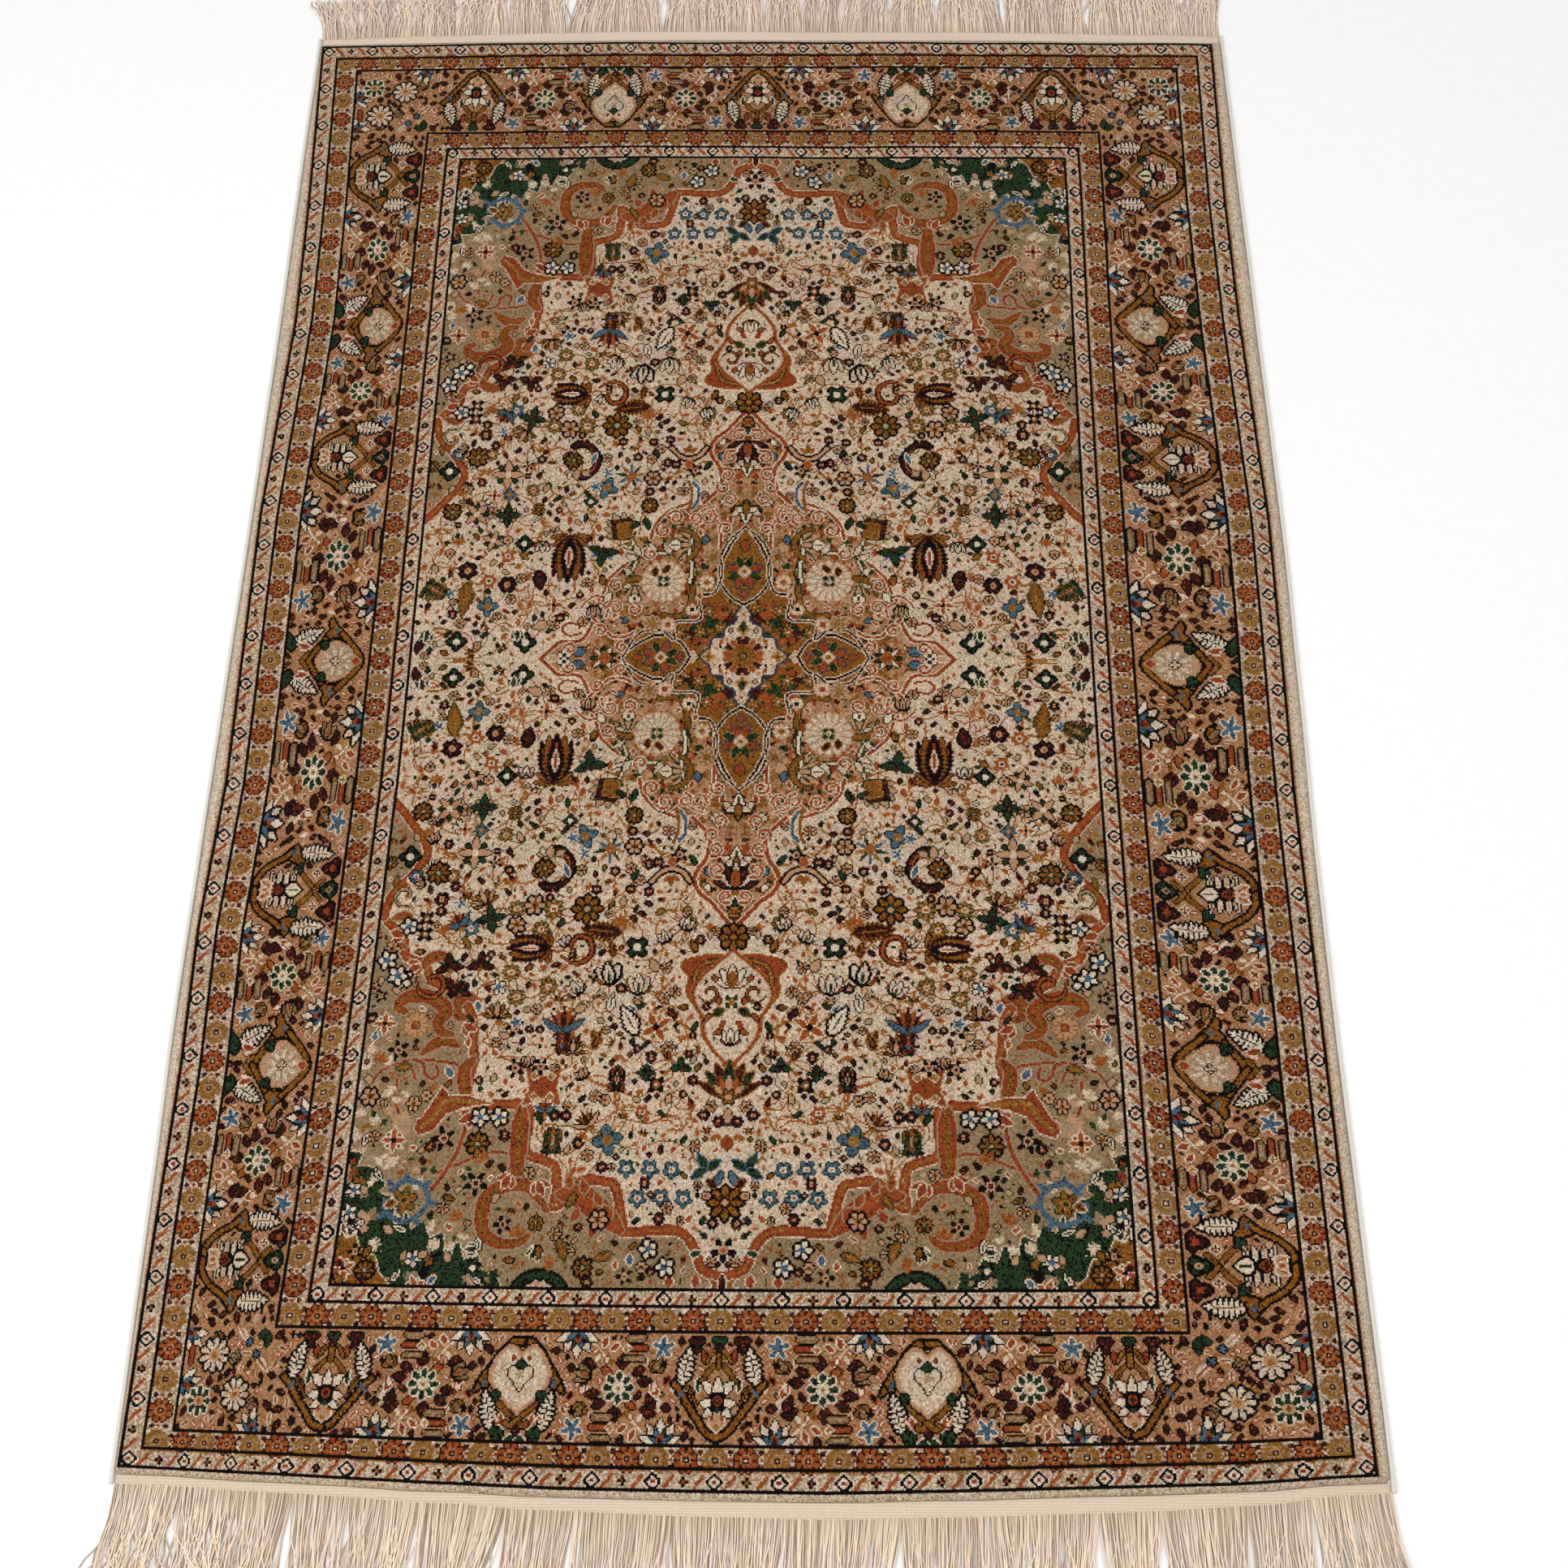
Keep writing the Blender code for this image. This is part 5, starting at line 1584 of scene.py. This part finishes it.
def makePile(chart):
    cell = pileSheet["cell"]
    across, down = chartKnots[0] // cell, chartKnots[1] // cell
    shape = slab(across, down)
    for face in shape.faces:
        face.material_index = 0 if face.normal.z > 0.5 else 1
        face.smooth = face.normal.z > 0.5
    pile = finished(shape, "knottedPile", pileMaterial(), pileSideMaterial())
    mesh = pile.data
    places = np.empty(len(mesh.vertices) * 3)
    mesh.vertices.foreach_get("co", places)
    places = places.reshape(-1, 3)
    # each face's column and row, from its middle on the unit grid
    corners = np.empty(len(mesh.loops), np.int64)
    mesh.loops.foreach_get("vertex_index", corners)
    starts = np.array([face.loop_start for face in mesh.polygons])
    sizes = np.diff([*starts, len(corners)])
    top = np.array([face.material_index == 0 for face in mesh.polygons])
    middle = np.add.reduceat(places[corners], starts)[:, :2] / sizes[:, None]
    column = np.clip(((middle[:, 0] + 0.5) * across).astype(int), 0, across - 1)
    row = np.clip(((0.5 - middle[:, 1]) * down).astype(int), 0, down - 1)
    for number, values in enumerate(packedRows(chart)):
        store = mesh.attributes.new(f"knotRow{number}", "FLOAT", "FACE")
        store.data.foreach_set("value", (values[row * across + column] * top).astype(np.float32))
    ofFace = np.repeat(np.arange(len(starts)), sizes)
    unit = places[corners]
    inKnots = np.stack([(unit[:, 0] + 0.5) * chartKnots[0], (0.5 - unit[:, 1]) * chartKnots[1]], -1)
    inCell = inKnots - cell * np.stack([column[ofFace], row[ofFace]], -1)
    # the walls and the back share a narrow strip of the planar map, below the pile
    bake = np.stack([unit[:, 0] + 0.5, 0.03 + 0.97 * (unit[:, 1] + 0.5)], -1)
    under = ~top[ofFace]
    bake[under] = np.stack([unit[under, 0] + 0.5, 0.02 * (unit[under, 1] + 0.5)], -1)
    for name, values in (("knotCell", inCell), ("knots", inKnots), ("OFBake", bake)):
        mesh.uv_layers.new(name=name).data.foreach_set("uv", values.astype(np.float32).ravel())
    # from the unit grid to the loom's own shape
    x, y = loom.place(places[:, 0] * chartKnots[0] * knot, -places[:, 1] * chartKnots[1] * knot)
    edge = np.maximum(np.abs(places[:, 0]), np.abs(places[:, 1])) > 0.4999
    z = np.where(edge, pileSheet["shoulder"], rippled(x, y))
    z = np.where(places[:, 2] < -0.5, floorGap, z)
    world = np.stack([x + loom.middle[0], y + loom.middle[1], z], -1) * mm
    mesh.vertices.foreach_set("co", world.ravel())
    mesh.update()
    return pile


# The flat-woven ends: cotton wefts beaten down hard over the warps, row by row.

kilimLooks = {
    "height": 2.2,                # mm
    "rows": 7,                    # wefts that stand out across its width
    "relief": 0.16,               # mm that each stands above the next
    "rounding": 0.5,              # mm that its rim is lower
    "columns": 420,               # steps across
}


def nodeOutline(name, toward):
    # the inner and outer edge of an end piece in mm: across, inner y, outer y
    verts = footOf(name)
    across = np.unique(np.round(verts[:, 0], 1))
    spread = [verts[np.abs(verts[:, 0] - x) < 0.2][:, 1] for x in across]
    low, high = np.array([s.min() for s in spread]), np.array([s.max() for s in spread])
    wide = high - low > 1
    return (across[wide], low[wide], high[wide]) if toward > 0 else (across[wide], high[wide], low[wide])


def makeKilim(end, toward, material):
    across, inner, outer = nodeOutline(f"kilim_{end}", toward)
    shape = slab(kilimLooks["columns"], 6 * kilimLooks["rows"])
    for vert in shape.verts:
        x = across[0] + (vert.co.x + 0.5) * (across[-1] - across[0])
        share = vert.co.y + 0.5 if toward > 0 else 0.5 - vert.co.y
        start, stop = np.interp(x, across, inner), np.interp(x, across, outer)
        ridge = math.cos(share * kilimLooks["rows"] * math.tau)
        rim = abs(vert.co.x) > 0.499 or share < 0.01 or share > 0.99
        z = kilimLooks["height"] - kilimLooks["relief"] * ridge - (kilimLooks["rounding"] if rim else 0)
        if vert.co.z < -0.5:
            z = floorGap
        vert.co = Vector((x, start + share * (stop - start), z)) * mm
    if toward < 0:
        bmesh.ops.recalc_face_normals(shape, faces=shape.faces)
    for face in shape.faces:
        face.smooth = True
    return finished(shape, f"flatWeave{end.title()}", material)


# The overcast sides: pale yarn wound round the outer cord, turn by turn.

sideLooks = {
    "turn": 2.6,                  # mm from one wrap of yarn to the next
    "relief": 0.22,               # mm that a wrap stands proud
    "slip": 0.05,                 # mm that the yarn stays inside the CAD cord
    "round": 12,                  # faces round the cord
    "closed": 0.7,                # how much of its width is left at its two ends
}


def makeSideCord(side, material):
    verts = cornersOf(f"side_cord_{side}")
    radius = verts[:, 2].max() / 2
    stations = np.unique(np.round(verts[:, 1], 0))
    middle = np.array([verts[np.abs(verts[:, 1] - y) < 1.2, 0].mean() for y in stations])
    low, high = verts[:, 1].min(), verts[:, 1].max()
    turns = int((high - low) / sideLooks["turn"])
    shape = bmesh.new()
    bmesh.ops.create_cone(shape, segments=sideLooks["round"], radius1=1, radius2=1, depth=1, cap_ends=True)
    long = [edge for edge in shape.edges if abs(edge.verts[0].co.z - edge.verts[1].co.z) > 0.5]
    bmesh.ops.subdivide_edges(shape, edges=long, cuts=4 * turns - 1, use_grid_fill=False)
    for vert in shape.verts:
        share = vert.co.z + 0.5
        y = low + share * (high - low)
        angle = math.atan2(vert.co.y, vert.co.x)
        wrap = math.sin(share * turns * math.tau + 1.2 * angle)
        reach = radius - sideLooks["relief"] * (0.5 - 0.5 * wrap) - sideLooks["slip"]
        if share < 0.0005 or share > 0.9995:
            reach *= sideLooks["closed"]
        x = np.interp(y, stations, middle)
        vert.co = Vector((x + reach * math.cos(angle), y, radius + reach * math.sin(angle))) * mm
    bmesh.ops.recalc_face_normals(shape, faces=shape.faces)
    for face in shape.faces:
        face.smooth = True
    return finished(shape, f"overcastSide{side.title()}", material)


# The fringes: the warps themselves, cut and left loose, lying in soft clumps on the floor.

fringeLooks = {
    "yarns": 1380,                # loose warps at each end
    "radius": 0.66,               # mm
    "clump": 26,                  # mm across each loose clump
    "gather": 0.42,               # share of its width that a clump may draw together
    "depth": 3.2,                 # mm that the yarns lie on top of each other
    "uneven": 2.5,                # mm that a yarn is cut longer or shorter
    "tucked": 1.5,                # mm that it starts inside the flat weave
    "cornerFan": 120,             # mm from a corner over which the yarns fan out
    "past": 9,                    # mm that a loose yarn may reach past the CAD fringe
    "aside": 22,                  # mm that one may reach past its sides
    "steps": 8,                   # bends that a yarn may have
    # how far yarns wander, how many of them stray and how far, in mm
    "loose": (1.6, 0.24, 14),
    "tangled": (3.4, 0.5, 18),
    # mm long, mm that the corners fan out, mm that clumps drift to the right and lean either way
    "near": {"length": 81, "left": 7, "right": 14, "drift": -4, "lean": 8.5, "seed": 21,
             "tangle": (-590, -440)},  # mm across, where the yarns lie tangled
    "far": {"length": 70, "left": 18, "right": 8, "drift": 0, "lean": 4.5, "seed": 22,
            "tangle": (-560, -380)},
}


def makeFringe(end, toward, material):
    looks = {**fringeLooks, **fringeLooks[end]}
    seeded = np.random.default_rng(looks["seed"])
    across, _, outer = nodeOutline(f"kilim_{end}", toward)
    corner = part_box(f"fringe_{end}")[0 if toward < 0 else 1]
    limit = abs(corner.y) / mm + looks["past"]
    line = bpy.data.curves.new(f"fringe{end}", "CURVE")
    line.dimensions = "3D"
    line.bevel_depth = looks["radius"] * mm
    line.bevel_resolution = 1
    line.use_fill_caps = True
    line.resolution_u = 2
    width = across[-1] - across[0]
    clumps = np.sort(seeded.uniform(across[0], across[-1], int(width / looks["clump"])))
    lean = seeded.normal(looks["drift"], looks["lean"], len(clumps))
    pull = seeded.uniform(0.0, looks["gather"], len(clumps))
    for number in range(looks["yarns"]):
        root = across[0] + width * (number + 0.5) / looks["yarns"] + seeded.uniform(-0.4, 0.4)
        start = np.interp(root, across, outer)
        nearest = int(np.argmin(np.abs(clumps - root)))
        toRight = max(0.0, 1 - (across[-1] - root) / looks["cornerFan"])
        toLeft = max(0.0, 1 - (root - across[0]) / looks["cornerFan"])
        fan = looks["right"] * toRight**1.5 - looks["left"] * toLeft**1.5
        tangled = looks["tangle"][0] < root - loom.middle[0] < looks["tangle"][1]
        wandering, strays, strayFar = looks["tangled" if tangled else "loose"]
        gather = (clumps[nearest] - root) * pull[nearest] + lean[nearest] * (1 - max(toLeft, toRight))
        length = looks["length"] + seeded.normal(0, looks["uneven"])
        wander = seeded.normal(0, wandering, 3)
        stray = seeded.normal(0, strayFar if seeded.random() < strays else 3)
        height = looks["radius"] + seeded.uniform(0.05, looks["depth"])
        spline = line.splines.new("POLY")
        spline.points.add(looks["steps"])
        for step, point in enumerate(spline.points):
            share = step / looks["steps"]
            sideways = (fan + gather) * share**1.4 + stray * share**2.2
            sideways += (wander[0] * math.sin(share * 5 + wander[1]) * share
                         + 0.7 * wander[2] * math.sin(share * 11) * share)
            along = length * share * (1 - 0.0015 * abs(sideways)) - looks["tucked"]
            z = height * min(1.0, 0.7 + share) + 0.5 * math.sin(share * 7 + number) * (1 - share)
            z = max(looks["radius"] + floorGap, z)
            y = max(min(start + toward * along, limit), -limit)
            x = max(min(root + sideways, across[-1] + looks["aside"]), across[0] - looks["aside"])
            point.co = (x * mm, y * mm, z * mm, 1.0)
    draft = bpy.data.objects.new("fringeDraft", line)
    bpy.context.scene.collection.objects.link(draft)
    bpy.context.view_layer.update()
    mesh = bpy.data.meshes.new_from_object(draft.evaluated_get(bpy.context.evaluated_depsgraph_get()))
    bpy.data.objects.remove(draft)
    bpy.data.curves.remove(line)
    for face in mesh.polygons:
        face.use_smooth = True
    mesh.materials.clear()
    return placed(mesh, f"looseWarps{end.title()}", material)


# The studio: a plain pale floor, two broad soft lights above, and the camera where the photograph was taken.

studio = {
    "floor": ("#F6F5F4", "#FDFCFC"),
    "floorSize": 14.0,
    "sky": 0.68,
    "lamps": (("window", (-1.8, -1.2, 2.8), 42), ("overhead", (0.6, -0.6, 3.4), 28)),  # place in m, watts
    "lampSize": 2.4,
    "lens": 44.25,
    "camera": (0.0501, -1.0224, 1.8806),
    "turn": (24.34, 0.48, 0.39),
}


def makeFloor():
    shape = bmesh.new()
    bmesh.ops.create_grid(shape, x_segments=1, y_segments=1, size=studio["floorSize"] / 2)
    material, tree, shader = newMaterial("Painted floor, matt", Roughness=0.9)
    place = add(tree, "TexCoord").outputs["Object"]
    grain = add(tree, "TexNoise", {}, Vector=place, Scale=60.0, Detail=4.0).outputs[0]
    paint = blended(tree, "MIX", grain, *(linear(colour) for colour in studio["floor"]))
    tree.links.new(paint, shader.inputs["Base Color"])
    finished(shape, "floor", material)


def makeLights():
    world = bpy.data.worlds.new("softStudio")
    bpy.context.scene.world = world
    world.use_nodes = True
    sky = world.node_tree.nodes["Background"].inputs
    sky["Color"].default_value = linear("#FFFFFF")
    sky["Strength"].default_value = studio["sky"]
    for name, place, power in studio["lamps"]:
        lamp = bpy.data.lights.new(name, "AREA")
        lamp.size = studio["lampSize"]
        lamp.energy = power
        holder = bpy.data.objects.new(name, lamp)
        holder.location = place
        holder.rotation_euler = (-Vector(place)).to_track_quat("-Z", "Y").to_euler()
        bpy.context.scene.collection.objects.link(holder)


def makeCamera():
    # the photograph has clear whites, which the filmic view would turn grey
    bpy.context.scene.view_settings.view_transform = "Standard"
    view = bpy.data.cameras.new("photograph")
    view.lens = studio["lens"]
    view.sensor_width = 36.0
    camera = bpy.data.objects.new("photograph", view)
    x, y, z = studio["camera"]
    camera.location = (x + loom.middle[0] * mm, y + loom.middle[1] * mm, z)
    camera.rotation_euler = Euler([math.radians(part) for part in studio["turn"]])
    bpy.context.scene.collection.objects.link(camera)
    bpy.context.scene.camera = camera


chart = knottedChart()
print("chart of", chart.shape[1], "by", chart.shape[0], "knots")
pile = makePile(chart)
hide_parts("pile")
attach(pile, "root")
print("pile of", len(pile.data.polygons), "faces")

weaveCotton = cottonMaterial("Undyed cotton, flat woven", "#F8E4CE", "#E5CDB2", 0.35, rows=2.5, columns=2.2)
# the loose warps' deep colour is mostly painted shade on the lower yarns
warpCotton = cottonMaterial("Undyed cotton warp yarn, loose", "#F3DEC6", "#8E7056", 0.12, shadeUnderHeight=3.6)
wrapCotton = cottonMaterial("Bleached yarn, wound round the cord", "#E6E1D8", "#CBC3B6", 0.12)
for end, toward in (("near", -1), ("far", 1)):
    kilim = makeKilim(end, toward, weaveCotton)
    fringe = makeFringe(end, toward, warpCotton)
    for piece, node in ((kilim, f"kilim_{end}"), (fringe, f"fringe_{end}")):
        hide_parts(node)
        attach(piece, "root")
    print(end, "fringe of", len(fringe.data.polygons), "faces")
for side in ("left", "right"):
    cord = makeSideCord(side, wrapCotton)
    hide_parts(f"side_cord_{side}")
    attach(cord, "root")
makeFloor()
makeLights()
makeCamera()
print("studio set")
